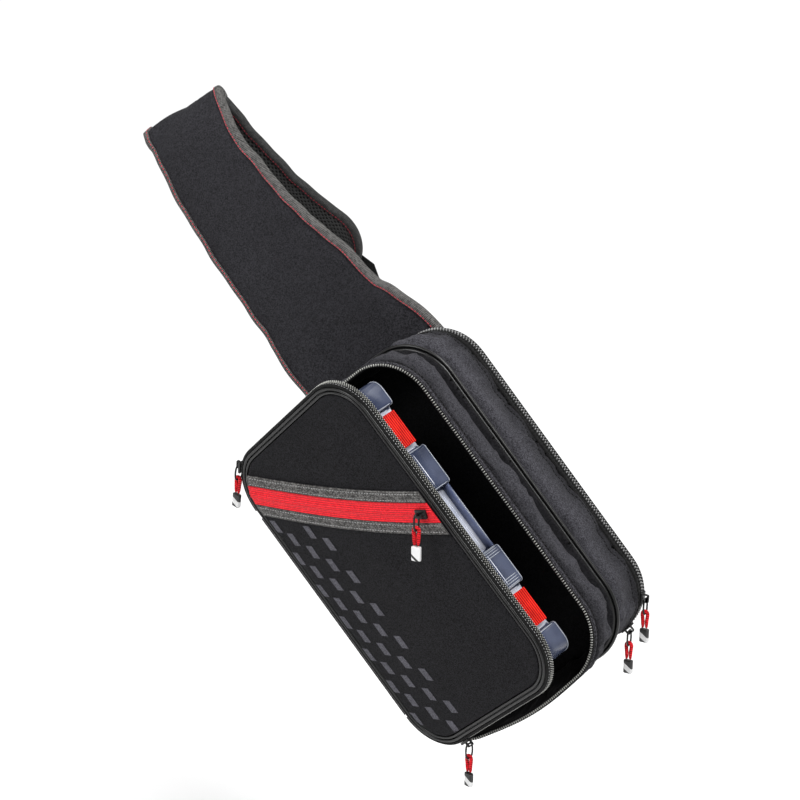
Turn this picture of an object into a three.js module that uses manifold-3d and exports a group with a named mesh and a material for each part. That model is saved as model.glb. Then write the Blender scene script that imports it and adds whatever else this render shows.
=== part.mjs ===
// Fishing tackle sling bag, hanging from the shoulder fold of its strap.
// Units are millimetres, +Z is up, the front of the bag faces -Y.
// The bag is built upright about its own centre and then tilted in its own plane.
// In the bag's frame x runs across, y runs from the front to the wearer's back, z runs along it.

import * as THREE from 'three';
import * as BufferGeometryUtils from 'three/addons/utils/BufferGeometryUtils.js';
import Module from 'manifold-3d';

const wasm = await Module();
wasm.setup();

const deg = Math.PI / 180;

// Length of the tackle box, a standard flat tray that the bag is made to hold
const boxLength = 267;
const boxRoom = 37;

// Driving dimensions of the body
const bagWidth = 206;
const bagLength = boxLength + boxRoom;
const bagCorner = 45;
const rearDepth = 62;
const frontDepth = 44;
const clothWall = 2.2;
const seamGap = 0.3;
const backPadding = 9.4;
const backEdgeInset = 2;
const backEdgeRound = 6;
const zipBand = 14;
const openZipBand = 7.6;
const pipingRadius = 2.5;
const dividerWall = 2;
const rearSwell = 6;
const frontSwell = 5;
const foldDepth = 1.6;
const foldsRound = 9;
const rearBottomSwell = -4;
const frontBottomSwell = 1;
const rimSag = 9.5;
const wearTilt = 41.75;

// Driving dimensions of the lid
const lidShorter = 2;
const lidLength = bagLength - lidShorter;
const lidCorner = 43;
const lidOpening = 15.8;
const lidGap = 4;
const lidShift = 1;
const lidRise = 3.1;
const lidTwist = 1.44;
const lidPitch = 1.2;
const lidDepth = 7;
const lidWall = 2.4;
const lidCrown = 3.5;
const lidFlange = 1.6;
const lidBand = 2.7;
const lidPiping = 2.9;
const hingeWall = 2.2;
const hingeBulge = 2.4;

// Pocket zip on the lid
const pocketTape = 10;
const pocketZipWidth = 17;
const pocketLeftHeight = 129;
const pocketRightHeight = 9;
const pocketSag = 9;
const pocketThickness = 1.2;
const pocketSliderAlong = 0.905;

// Tackle box
const boxWidth = 178.5;
const boxDepth = 37.7;
const boxCorner = 20;
const boxWall = 1.8;
const boxHingeClear = 6.5;
const boxDrop = 3;
const boxLidDepth = 4.2;
const boxFlange = 2;
const latchLength = 31;
const latchFromEnd = 45.5;
const latchSpread = boxLength / 2 - latchFromEnd;
const latchReach = 26;
const latchThickness = 2.6;
const latchClear = 4.8;
const latchRecess = 8;
const latchRibs = 5;
const latchBarrel = 2.2;
const gripRecess = 14;
const gripTop = 30.5;
const gripBottom = 32;
const lugWidth = 3;

// Strap
const strapRise = 284;
const strapFoldWidth = 88;
const strapGap = 28;
const strapThickness = 8;
const strapLining = 2.7;
const strapSeam = 0.5;
const strapOverlap = 24;
const bindingWidth = 6.5;
const bindingProud = 0.6;
const webbingWidth = 30;
const webbingThickness = 1.6;
const webbingSide = -5;
const adjusterWidth = 42;
const adjusterHeight = 36;
const adjusterThickness = 4.4;
const adjusterBar = 5;
const anchorAcross = 0.36;
const anchorAlong = 0.4;
const anchorLength = 34;

// Zip pulls
const sliderLength = 11;
const sliderWidth = 8;
const sliderHeight = 2.2;
const bridgeRise = 3.6;
const bridgeWall = 1.2;
const bridgeWidth = 2.2;
const wireRadius = 0.9;
const wireWidth = 10;
const wireLength = 16;
const wireSquare = 0.5;
const cordRadius = 1.3;
const cordLength = 17;
const tipWidth = 8;
const tipThickness = 4.4;
const tipLength = 12;

// How finely the round stretches are cut
const cornerSteps = 5;
const longSteps = 6;
const shortSteps = 3;
const pipingSides = 6;
const tipSteps = 7;
const turnSteps = 6;
const wireSteps = 14;
const cordSteps = 16;
const cordSides = 5;

// Finishes
const finishes = {
  cloth: { color: 0x212226, roughness: 0.85, metalness: 0 },
  gusset: { color: 0x34353b, roughness: 0.9, metalness: 0 },
  piping: { color: 0x151517, roughness: 0.5, metalness: 0 },
  zip: { color: 0x1a1a1c, roughness: 0.5, metalness: 0.1 },
  redZip: { color: 0xd8242e, roughness: 0.6, metalness: 0 },
  greyTape: { color: 0x67675f, roughness: 0.9, metalness: 0 },
  mesh: { color: 0x19191b, roughness: 0.9, metalness: 0 },
  clear: { color: 0x8f98ac, roughness: 0.2, metalness: 0, transparent: true, opacity: 0.55 },
  latch: { color: 0xe82a1c, roughness: 0.4, metalness: 0 },
  webbing: { color: 0x1b1b1d, roughness: 0.8, metalness: 0 },
  plastic: { color: 0x18181a, roughness: 0.45, metalness: 0 },
  metal: { color: 0x1d1d20, roughness: 0.35, metalness: 0.7 },
  cord: { color: 0xb81f2a, roughness: 0.8, metalness: 0 },
  tip: { color: 0x2a2a2c, roughness: 0.5, metalness: 0 },
};

const mix = (a, b, share) => a + (b - a) * share;
const vec = (x, y, z) => new THREE.Vector3(x, y, z);

// Mesh building

function signedVolume(positions, faces) {
  let sum = 0;
  for (let i = 0; i < faces.length; i += 3) {
    const [a, b, c] = [positions[faces[i]], positions[faces[i + 1]], positions[faces[i + 2]]];
    sum += a.dot(b.clone().cross(c)) / 6;
  }
  return sum;
}

function solidFrom(positions, faces) {
  const ordered = faces.slice();
  if (signedVolume(positions, ordered) < 0) {
    ordered.reverse();
  }
  const geometry = new THREE.BufferGeometry();
  const flat = positions.flatMap((p) => [p.x, p.y, p.z]);
  geometry.setAttribute('position', new THREE.Float32BufferAttribute(flat, 3));
  geometry.setIndex(ordered);
  geometry.computeVertexNormals();
  return geometry;
}

// A closed skin over a row of rings that all have the same number of points.
// cap is the flat shape of an end ring, as pairs, used to triangulate both ends.
function skin(rings, { closed = false, capStart = null, capEnd = null } = {}) {
  const count = rings[0].length;
  const positions = rings.flat();
  const faces = [];
  const last = closed ? rings.length : rings.length - 1;
  for (let i = 0; i < last; i += 1) {
    const here = i * count;
    const there = ((i + 1) % rings.length) * count;
    for (let j = 0; j < count; j += 1) {
      const k = (j + 1) % count;
      faces.push(here + j, here + k, there + k);
      faces.push(here + j, there + k, there + j);
    }
  }
  if (!closed) {
    addCap(faces, capStart, 0, true);
    addCap(faces, capEnd ?? capStart, (rings.length - 1) * count, false);
  }
  return solidFrom(positions, faces);
}

function addCap(faces, shape, offset, flip) {
  const contour = shape.map(([a, b]) => new THREE.Vector2(a, b));
  const clockwise = THREE.ShapeUtils.isClockWise(contour);
  for (const [a, b, c] of THREE.ShapeUtils.triangulateShape(contour, [])) {
    const turn = flip !== clockwise;
    faces.push(offset + a, offset + (turn ? c : b), offset + (turn ? b : c));
  }
}

function toManifold(geometry) {
  const bare = geometry.clone();
  bare.deleteAttribute('normal');
  bare.deleteAttribute('uv');
  const merged = BufferGeometryUtils.mergeVertices(bare, 1e-4);
  const mesh = new wasm.Mesh({
    numProp: 3,
    vertProperties: new Float32Array(merged.attributes.position.array),
    triVerts: new Uint32Array(merged.index.array),
  });
  return new wasm.Manifold(mesh);
}

function fromManifold(solid) {
  const mesh = solid.getMesh();
  const geometry = new THREE.BufferGeometry();
  geometry.setAttribute('position', new THREE.BufferAttribute(mesh.vertProperties, 3));
  geometry.setIndex(new THREE.BufferAttribute(mesh.triVerts, 1));
  geometry.computeVertexNormals();
  return geometry;
}

function unite(...geometries) {
  return fromManifold(geometries.map(toManifold).reduce((sum, next) => sum.add(next)));
}

function addPiece(group, name, geometry, finish) {
  const mesh = new THREE.Mesh(geometry, new THREE.MeshStandardMaterial(finishes[finish]));
  mesh.name = name;
  group.add(mesh);
  return mesh;
}

// Rounded outline in the x-z plane, as stations with an outward direction.
// It starts half way down the left side and runs over the top. An open one leaves out the
// straight stretch of the left side.
function outline(width, length, corner, isOpen = false) {
  const stations = [];
  const halfX = width / 2;
  const halfZ = length / 2;
  const flat = halfX - corner;
  const straight = halfZ - corner;
  const add = (x, z, nx, nz) => stations.push({ x, z, nx, nz });
  const arc = (cx, cz, from) => {
    for (let i = 0; i <= cornerSteps; i += 1) {
      const angle = (from - (90 * i) / cornerSteps) * deg;
      const nx = Math.cos(angle);
      const nz = Math.sin(angle);
      add(cx + corner * nx, cz + corner * nz, nx, nz);
    }
  };
  const run = (steps, from, to, nx, nz) => {
    for (let i = 1; i < steps; i += 1) {
      add(mix(from[0], to[0], i / steps), mix(from[1], to[1], i / steps), nx, nz);
    }
  };
  if (!isOpen) {
    add(-halfX, 0, -1, 0);
    run(longSteps / 2, [-halfX, 0], [-halfX, straight], -1, 0);
  }
  arc(-flat, straight, 180);
  run(shortSteps, [-flat, halfZ], [flat, halfZ], 0, 1);
  arc(flat, straight, 90);
  run(longSteps, [halfX, straight], [halfX, -straight], 1, 0);
  arc(flat, -straight, 0);
  run(shortSteps, [flat, -halfZ], [-flat, -halfZ], 0, -1);
  arc(-flat, -straight, 270);
  if (!isOpen) {
    run(longSteps / 2, [-halfX, -straight], [-halfX, 0], -1, 0);
  }
  return stations;
}

const atOffset = (station, offset, y) =>
  vec(station.x + station.nx * offset, y, station.z + station.nz * offset);

// A band round an outline: section(share, station) gives [offset, y] pairs.
function band(stations, section, isOpen = false) {
  const rings = stations.map((station, i) => {
    const share = i / stations.length;
    return section(share, station).map(([offset, y]) => atOffset(station, offset, y));
  });
  const cap = section(0, stations[0]);
  return skin(rings, { closed: !isOpen, capStart: isOpen ? cap : null });
}

const boxSection = (near, far, y0, y1) => () => [[near, y0], [far, y0], [far, y1], [near, y1]];

const roundSection = (offset, y, radius) => () =>
  Array.from({ length: pipingSides }, (_, i) => {
    const angle = ((i + 0.5) * 2 * Math.PI) / pipingSides;
    return [offset + radius * Math.cos(angle), y + radius * Math.sin(angle)];
  });

// A plate or tray whose surface runs through levels: each is the outline with an inset, drawn
// in towards the middle by a share, at the height that its depth function gives.
function plate(stations, levels) {
  const rings = levels.map(({ inset, drawnIn = 1, depth }) =>
    stations.map((station) => {
      const p = atOffset(station, -inset, 0);
      p.x *= drawnIn;
      p.z *= drawnIn;
      p.y = depth(p.x, p.z);
      return p;
    }),
  );
  const shapeOf = (ring) => ring.map((p) => [p.x, p.z]);
  return skin(rings, {
    capStart: shapeOf(rings[0]),
    capEnd: shapeOf(rings[rings.length - 1]),
  });
}

const flatAt = (y) => () => y;

// How far the open front rim sags outward along the bag's lower end
function sagAt(station) {
  const low = Math.max(0, -station.nz);
  return rimSag * low * Math.cos((Math.PI * station.x) / bagWidth) ** 2;
}

// A soft wall round the bag: it swells between its two seams, has shallow folds and follows
// the sag of its front seam. The lower end swells by an amount of its own.
function gusset(stations, yFront, yBack, { swell, bottomSwell, sag = () => 0 }) {
  const rows = [
    { along: 0, swell: 0 },
    { along: 0.22, swell: 0.72 },
    { along: 0.5, swell: 1 },
    { along: 0.78, swell: 0.72 },
    { along: 1, swell: 0 },
  ];
  return band(stations, (share, station) => {
    const fold = foldDepth * Math.cos(2 * Math.PI * foldsRound * share);
    const puff = fold + mix(swell, bottomSwell, Math.max(0, -station.nz));
    const outer = rows.map((row) => [
      row.swell * puff + (1 - row.along) * sag(station),
      mix(yFront, yBack, row.along),
    ]);
    const inner = outer.map(([offset, y]) => [offset - clothWall, y]).reverse();
    return [...outer, ...inner];
  });
}

// Body
const bag = new THREE.Group();
const bodyOutline = outline(bagWidth, bagLength, bagCorner);
const hingeHalf = Math.min(bagLength / 2 - bagCorner, lidLength / 2 - lidCorner) - lidRise - 1;
const bodyOpenOutline = outline(bagWidth, bagLength, bagCorner, true);
const frontRim = -rearDepth - frontDepth;
const seamHalf = pipingRadius + seamGap;

function buildBody() {
  const backLevels = [
    { inset: backEdgeInset, depth: flatAt(seamGap) },
    { inset: backEdgeInset + backEdgeRound * 0.1, depth: flatAt(seamGap + backPadding / 3) },
    { inset: backEdgeInset + backEdgeRound * 0.4, depth: flatAt(seamGap + backPadding * 0.72) },
    { inset: backEdgeInset + backEdgeRound, depth: flatAt(seamGap + backPadding) },
  ];
  addPiece(bag, 'back_panel', plate(bodyOutline, backLevels), 'mesh');

  const rearZip = band(bodyOutline, boxSection(0, -clothWall, -zipBand, 0));
  addPiece(bag, 'rear_zip', rearZip, 'zip');

  const rearBack = -zipBand - seamGap;
  const rearFront = -rearDepth + seamHalf;
  const rearGusset = gusset(bodyOutline, rearFront, rearBack, {
    swell: rearSwell,
    bottomSwell: rearBottomSwell,
  });
  addPiece(bag, 'rear_gusset', rearGusset, 'gusset');

  const pipingOffset = pipingRadius * 0.4;
  const piping = band(bodyOutline, roundSection(pipingOffset, -rearDepth, pipingRadius));
  addPiece(bag, 'side_piping', piping, 'piping');

  const dividerInset = pipingRadius - pipingOffset + seamGap;
  const dividerFront = -rearDepth - dividerWall / 2;
  const dividerLevels = [
    { inset: dividerInset, depth: flatAt(dividerFront) },
    { inset: dividerInset, depth: flatAt(dividerFront + dividerWall) },
  ];
  addPiece(bag, 'divider', plate(bodyOutline, dividerLevels), 'cloth');

  const frontBack = -rearDepth - seamHalf;
  const frontFront = frontRim + openZipBand + seamGap;
  const frontGusset = gusset(bodyOutline, frontFront, frontBack, {
    swell: frontSwell,
    bottomSwell: frontBottomSwell,
    sag: sagAt,
  });
  addPiece(bag, 'front_gusset', frontGusset, 'gusset');

  const flatSection = boxSection(0, -clothWall, frontRim, frontRim + openZipBand);
  const zipSection = (share, station) =>
    flatSection().map(([offset, y]) => [offset + sagAt(station), y]);
  addPiece(bag, 'front_zip_body', band(bodyOpenOutline, zipSection, true), 'zip');
}

// Lid: its frame is turned about the left edge of the body
const lidGroup = new THREE.Group();
lidGroup.position.set(-bagWidth / 2 + lidShift, frontRim - lidGap, lidRise);
lidGroup.rotation.set(-lidPitch * deg, -lidTwist * deg, -lidOpening * deg, 'XYZ');
const lid = new THREE.Group();
lid.position.set(bagWidth / 2, 0, 0);
lidGroup.add(lid);
bag.add(lidGroup);

const lidOutline = outline(bagWidth, lidLength, lidCorner);
const lidOpenOutline = outline(bagWidth, lidLength, lidCorner, true);
const pipingInset = lidBand + seamGap + lidPiping;
const panelInset = pipingInset + lidPiping + seamGap;
const pipingSeat = -lidDepth + lidPiping;
const flangeFront = pipingSeat + lidPiping + seamGap;
const flangeBack = flangeFront + lidFlange;

// Front face of the padded lid panel, crowned in the middle
function lidFront(x, z) {
  const halfX = bagWidth / 2 - panelInset;
  const halfZ = lidLength / 2 - panelInset;
  const across = Math.max(0, 1 - (x / halfX) ** 2);
  const along = Math.max(0, 1 - (z / halfZ) ** 2);
  return -lidDepth - lidCrown * across * along;
}

const lidBack = (x, z) => lidFront(x, z) + lidWall;

function buildLid() {
  const middle = 0.35;
  const quarter = 0.7;
  const innerInset = panelInset + lidWall;
  const levels = [
    { inset: panelInset, drawnIn: middle, depth: lidFront },
    { inset: panelInset, drawnIn: quarter, depth: lidFront },
    { inset: panelInset, depth: lidFront },
    { inset: panelInset, depth: flatAt(flangeFront) },
    { inset: lidBand + seamGap, depth: flatAt(flangeFront) },
    { inset: lidBand + seamGap, depth: flatAt(flangeBack) },
    { inset: innerInset, depth: flatAt(flangeBack) },
    { inset: innerInset, depth: lidBack },
    { inset: innerInset, drawnIn: quarter, depth: lidBack },
    { inset: innerInset, drawnIn: middle, depth: lidBack },
  ];
  addPiece(lid, 'lid_shell', plate(lidOutline, levels), 'cloth');

  const piping = band(lidOutline, roundSection(-pipingInset, pipingSeat, lidPiping));
  addPiece(lid, 'lid_piping', piping, 'piping');

  const zipSection = boxSection(0, -lidBand, pipingSeat - lidPiping / 2, flangeBack);
  addPiece(lid, 'front_zip_lid', band(lidOpenOutline, zipSection, true), 'zip');
}

// Cloth hinge down the left side, from the body's wall to the lid's edge
function buildHinge() {
  const bodyEdge = -bagWidth / 2 + clothWall / 2;
  const startY = frontRim + openZipBand;
  const lidEdge = -bagWidth / 2 + seamGap + hingeWall / 2;
  const steps = 6;
  const rings = [];
  lidGroup.updateMatrix();
  lid.updateMatrix();
  const place = lidGroup.matrix.clone().multiply(lid.matrix);
  for (let i = 0; i <= steps; i += 1) {
    const z = mix(-hingeHalf, hingeHalf, i / steps);
    const onLid = (y) => vec(lidEdge, y, z - lidRise).applyMatrix4(place);
    const lidEnd = onLid(pipingSeat - lidPiping / 2);
    const lidRoot = onLid(flangeBack);
    const bodyRoot = vec(bodyEdge, frontRim + hingeWall, z);
    const swell = (bodyRoot.x + lidRoot.x) / 2 - hingeBulge;
    const line = [
      vec(bodyEdge, startY, z),
      bodyRoot,
      vec(swell, (bodyRoot.y + lidRoot.y) / 2, z),
      lidRoot,
      lidEnd,
    ];
    rings.push(thicken(line, hingeWall, z));
  }
  const cap = rings[0].map((p) => [p.x, p.y]);
  addPiece(bag, 'lid_hinge', skin(rings, { capStart: cap }), 'cloth');
}

// A closed ring about a line of points in a level plane
function thicken(line, wall, z) {
  const left = [];
  const right = [];
  line.forEach((p, i) => {
    const before = line[Math.max(0, i - 1)];
    const after = line[Math.min(line.length - 1, i + 1)];
    const along = vec(after.x - before.x, after.y - before.y, 0).normalize();
    left.push(vec(p.x - (along.y * wall) / 2, p.y + (along.x * wall) / 2, z));
    right.push(vec(p.x + (along.y * wall) / 2, p.y - (along.x * wall) / 2, z));
  });
  return [...left, ...right.reverse()];
}

// Pocket zip across the lid: three strips side by side that follow the panel
const pocketLine = new THREE.QuadraticBezierCurve(
  new THREE.Vector2(-bagWidth / 2, pocketLeftHeight),
  new THREE.Vector2(0, (pocketLeftHeight + pocketRightHeight) / 2 - pocketSag),
  new THREE.Vector2(bagWidth / 2, pocketRightHeight),
);

function insidePanel(point, inset) {
  const halfX = bagWidth / 2 - inset;
  const halfZ = lidLength / 2 - inset;
  const radius = lidCorner - inset;
  const dx = Math.max(0, Math.abs(point.x) - (halfX - radius));
  const dz = Math.max(0, Math.abs(point.y) - (halfZ - radius));
  return Math.hypot(dx, dz) < radius;
}

function pocketPoint(t, offset) {
  const p = pocketLine.getPoint(t);
  const tangent = pocketLine.getTangent(t);
  return new THREE.Vector2(p.x - tangent.y * offset, p.y + tangent.x * offset);
}

function panelSpan(offset, inset) {
  const limit = (from, to) => {
    let inside = from;
    let outside = to;
    for (let i = 0; i < 30; i += 1) {
      const middle = (inside + outside) / 2;
      if (insidePanel(pocketPoint(middle, offset), inset)) {
        inside = middle;
      } else {
        outside = middle;
      }
    }
    return inside;
  };
  return [limit(0.5, 0), limit(0.5, 1)];
}

function pocketStrip(low, high, thickness) {
  const steps = 12;
  const edgeInset = panelInset + seamGap;
  const lowSpan = panelSpan(low, edgeInset);
  const highSpan = panelSpan(high, edgeInset);
  const rings = [];
  for (let i = 0; i <= steps; i += 1) {
    const share = i / steps;
    const a = pocketPoint(mix(lowSpan[0], lowSpan[1], share), low);
    const b = pocketPoint(mix(highSpan[0], highSpan[1], share), high);
    const raise = (p, lift) => vec(p.x, lidFront(p.x, p.y) - seamGap - lift, p.y);
    rings.push([raise(a, 0), raise(b, 0), raise(b, thickness), raise(a, thickness)]);
  }
  return skin(rings, { capStart: [[0, 0], [1, 0], [1, 1], [0, 1]] });
}

function buildPocket() {
  const half = pocketZipWidth / 2;
  const upper = pocketStrip(half + seamGap, half + seamGap + pocketTape, pocketThickness);
  const lower = pocketStrip(-half - seamGap - pocketTape, -half - seamGap, pocketThickness);
  addPiece(lid, 'pocket_tape_upper', upper, 'greyTape');
  addPiece(lid, 'pocket_tape_lower', lower, 'greyTape');
  addPiece(lid, 'pocket_zip', pocketStrip(-half, half, pocketThickness), 'redZip');
}

// Tackle box, lying on the lid's turned edge with its latches to the right
const boxLeft = -bagWidth / 2 + boxHingeClear;
const boxRight = boxLeft + boxWidth;
const boxFront = flangeBack + seamGap;
const boxBack = boxFront + boxDepth;
const boxTop = boxLength / 2 - boxDrop;
const boxBottom = -boxLength / 2 - boxDrop;
const latchCentres = [latchSpread - boxDrop, -latchSpread - boxDrop];

function roundedCorner(cx, cz, radius, from) {
  const points = [];
  for (let i = 0; i <= 3; i += 1) {
    const angle = (from - 30 * i) * deg;
    points.push([cx + radius * Math.cos(angle), cz + radius * Math.sin(angle)]);
  }
  return points;
}

// Outline of the box with steps cut into its right side: each row is a stretch and its depth
function boxOutline(right, steps) {
  const r = boxCorner;
  const stepped = steps.flatMap((step) => [
    [right, step.top],
    [right - step.depth, step.top],
    [right - step.depth, step.bottom],
    [right, step.bottom],
  ]);
  return [
    ...roundedCorner(boxLeft + r, boxTop - r, r, 180),
    ...roundedCorner(right - r, boxTop - r, r, 90),
    ...stepped,
    ...roundedCorner(right - r, boxBottom + r, r, 0),
    ...roundedCorner(boxLeft + r, boxBottom + r, r, 270),
  ];
}

// The same outline moved inward by a wall
function insetOutline(points, wall) {
  const count = points.length;
  return points.map((p, i) => {
    const before = points[(i + count - 1) % count];
    const after = points[(i + 1) % count];
    const inA = new THREE.Vector2(p[1] - before[1], before[0] - p[0]).normalize();
    const inB = new THREE.Vector2(after[1] - p[1], p[0] - after[0]).normalize();
    const bend = 1 + inA.dot(inB);
    const move = inA.add(inB).multiplyScalar(wall / bend);
    return [p[0] + move.x, p[1] + move.y];
  });
}

// An open tray: the outline as a wall, with a plate at plateY and its mouth at mouthY
function tray(points, wall, plateY, mouthY) {
  const inner = insetOutline(points, wall);
  const floor = plateY + Math.sign(mouthY - plateY) * wall;
  const ringAt = (shape, y) => shape.map(([x, z]) => vec(x, y, z));
  const rings = [
    ringAt(points, plateY),
    ringAt(points, mouthY),
    ringAt(inner, mouthY),
    ringAt(inner, floor),
  ];
  return skin(rings, { capStart: points, capEnd: inner });
}

const latchX = boxRight - boxFlange - latchBarrel;
const latchHingeY = boxFront + boxLidDepth + seamGap + latchBarrel;

function buildBox() {
  const half = latchLength / 2 + latchClear;
  const steps = [
    { top: latchCentres[0] + half, bottom: latchCentres[0] - half, depth: latchRecess },
    { top: gripTop - boxDrop, bottom: -gripBottom - boxDrop, depth: gripRecess },
    { top: latchCentres[1] + half, bottom: latchCentres[1] - half, depth: latchRecess },
  ];
  const baseMouth = boxFront + boxLidDepth + seamGap;
  const base = tray(boxOutline(boxRight - boxFlange, steps), boxWall, boxBack, baseMouth);
  addPiece(lid, 'box_base', base, 'clear');

  const cover = tray(boxOutline(boxRight, []), boxWall, boxFront, boxFront + boxLidDepth);
  const lugs = latchCentres.flatMap((centre) => [1, -1].map((side) => {
    const near = latchLength / 2 + seamGap;
    const lug = new THREE.BoxGeometry(
      latchBarrel * 2,
      latchHingeY + latchBarrel - boxFront - boxWall / 2,
      lugWidth,
    );
    const middleY = (latchHingeY + latchBarrel + boxFront + boxWall / 2) / 2;
    lug.translate(latchX, middleY, centre + side * (near + lugWidth / 2));
    return lug;
  }));
  addPiece(lid, 'box_lid', unite(cover, ...lugs), 'clear');
}

// A latch: a barrel on the box lid's edge and a ribbed plate reaching over the base
function latchGeometry() {
  const outer = latchX + latchBarrel;
  const inner = outer - latchThickness;
  const start = latchHingeY;
  const end = start + latchReach;
  const profile = [];
  for (let i = 0; i <= 4; i += 1) {
    const angle = (180 + 45 * i) * deg;
    profile.push([latchX + latchBarrel * Math.cos(angle), start + latchBarrel * Math.sin(angle)]);
  }
  const ribPitch = (latchReach - latchBarrel) / latchRibs;
  for (let i = 0; i < latchRibs; i += 1) {
    const y = start + latchBarrel + i * ribPitch;
    profile.push([outer - latchThickness / 4, y]);
    profile.push([outer, y + ribPitch / 3]);
    profile.push([outer, y + (2 * ribPitch) / 3]);
  }
  profile.push([outer - latchThickness / 4, end]);
  profile.push([inner, end]);
  profile.push([inner, start + latchBarrel]);
  profile.push([latchX - latchBarrel, start + latchBarrel / 2]);
  const shape = new THREE.Shape(profile.map(([x, y]) => new THREE.Vector2(x, y)));
  const geometry = new THREE.ExtrudeGeometry(shape, { depth: latchLength, bevelEnabled: false });
  geometry.translate(0, 0, -latchLength / 2);
  return geometry;
}

function buildLatches() {
  ['latch_upper', 'latch_lower'].forEach((name, i) => {
    const mesh = addPiece(lid, name, latchGeometry(), 'latch');
    mesh.position.z = latchCentres[i];
  });
}

// Strap: rise is a share of the strap's rise, back of the fold's gap, shift and width of the
// strap's width at the fold, and slant is how far the strap's crosswise line dips, in degrees
const strapRows = [
  { rise: -0.085, back: 0, shift: -0.05, width: 1.82, slant: 0 },
  { rise: 0, back: 0, shift: -0.07, width: 1.78, slant: 0 },
  { rise: 0.17, back: -0.02, shift: -0.18, width: 1.57, slant: 0 },
  { rise: 0.29, back: -0.02, shift: -0.2, width: 1.46, slant: 0 },
  { rise: 0.41, back: 0, shift: -0.25, width: 1.35, slant: 0 },
  { rise: 0.52, back: 0, shift: -0.29, width: 1.25, slant: 0 },
  { rise: 0.63, back: 0, shift: -0.3, width: 1.18, slant: 0 },
  { rise: 0.74, back: 0.01, shift: -0.3, width: 1.12, slant: -3 },
  { rise: 0.83, back: 0.04, shift: -0.29, width: 1.06, slant: -9 },
  { rise: 0.915, back: 0.14, shift: -0.26, width: 1.03, slant: -14 },
  { rise: 0.975, back: 0.35, shift: -0.25, width: 1.02, slant: -13 },
  { rise: 1, back: 0.62, shift: -0.27, width: 1, slant: -12 },
  { rise: 0.972, back: 0.9, shift: -0.29, width: 0.98, slant: -10 },
  { rise: 0.9, back: 1.06, shift: -0.3, width: 0.96, slant: -6 },
  { rise: 0.77, back: 1.27, shift: -0.28, width: 0.91, slant: 0 },
  { rise: 0.63, back: 1.54, shift: -0.24, width: 0.87, slant: 0 },
  { rise: 0.52, back: 1.72, shift: -0.17, width: 0.84, slant: 0 },
  { rise: 0.425, back: 1.86, shift: -0.08, width: 0.82, slant: 0 },
];
const foldRow = strapRows.findIndex((row) => row.rise === 1);
const strapFront = seamGap + backPadding + seamGap + strapThickness / 2 + bindingProud;
const strapBase = bagLength / 2;
const strapOverlapShare = -strapOverlap / strapRise;
const strapCentres = strapRows.map((row, i) => vec(
  row.shift * strapFoldWidth,
  strapFront + row.back * strapGap,
  strapBase + (i === 0 ? strapOverlapShare : row.rise) * strapRise,
));
const strapCurve = new THREE.CatmullRomCurve3(strapCentres, false, 'centripetal');
const widthCurve = new THREE.CatmullRomCurve3(
  strapRows.map((row, i) => vec(row.width * strapFoldWidth, i, row.slant)), false, 'centripetal',
);

// The strap's frame at a share of its rows, or past its end by a length in millimetres
function strapFrame(share, past = 0) {
  const centre = strapCurve.getPoint(share);
  const along = strapCurve.getTangent(share);
  const spread = widthCurve.getPoint(share);
  const level = vec(Math.cos(spread.z * deg), 0, Math.sin(spread.z * deg));
  const across = level.addScaledVector(along, -along.dot(level)).normalize();
  const outward = along.clone().cross(across).normalize().negate();
  centre.addScaledVector(along, past);
  return { centre, across, outward, half: spread.x / 2 };
}

const onStrap = (frame, side, lift) =>
  frame.centre.clone().addScaledVector(frame.across, side).addScaledVector(frame.outward, lift);

const strapShares = strapRows.map((_, i) => i / (strapRows.length - 1));
const tipRadius = strapFrame(1).half;

// A strap layer whose edge is set in from the strap's outline. Its last ring stops just short
// of the tip's point, so that the layer ends in a narrow face.
function strapLayer(inset, sections) {
  const rings = strapShares.map((share) => {
    const frame = strapFrame(share);
    return sections(frame.half - inset).map(([side, lift]) => onStrap(frame, side, lift));
  });
  const radius = tipRadius - inset;
  const lastStep = tipSteps - 1.2;
  for (let i = 1; i < tipSteps; i += 1) {
    const angle = (90 * deg * Math.min(i, lastStep)) / (tipSteps - 1);
    const frame = strapFrame(1, radius * Math.sin(angle));
    rings.push(sections(radius * Math.cos(angle)).map(([side, lift]) => onStrap(frame, side, lift)));
  }
  return skin(rings, { capStart: sections(strapFoldWidth / 2) });
}

// Edge binding: up the left edge, round the tip and back along the right edge
function strapBinding() {
  const rise = strapThickness / 2 + bindingProud;
  const rings = [];
  const addRing = (points) => rings.push(points);
  const sideRing = (share, side) => {
    const frame = strapFrame(share);
    const inner = side * (frame.half - bindingWidth);
    const outer = side * frame.half;
    return [
      onStrap(frame, inner, -rise),
      onStrap(frame, outer, -rise),
      onStrap(frame, outer, rise),
      onStrap(frame, inner, rise),
    ];
  };
  strapShares.forEach((share) => addRing(sideRing(share, -1)));
  const turns = 2 * (tipSteps - 1);
  for (let i = 1; i < turns; i += 1) {
    const angle = Math.PI * (1 - i / turns);
    const ring = [[0, -rise], [1, -rise], [1, rise], [0, rise]].map(([outer, lift]) => {
      const radius = tipRadius - (outer ? 0 : bindingWidth);
      const frame = strapFrame(1, radius * Math.sin(angle));
      return onStrap(frame, radius * Math.cos(angle), lift);
    });
    addRing(ring);
  }
  strapShares.slice().reverse().forEach((share) => addRing(sideRing(share, 1)));
  return skin(rings, { capStart: [[0, 0], [1, 0], [1, 1], [0, 1]] });
}

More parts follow.
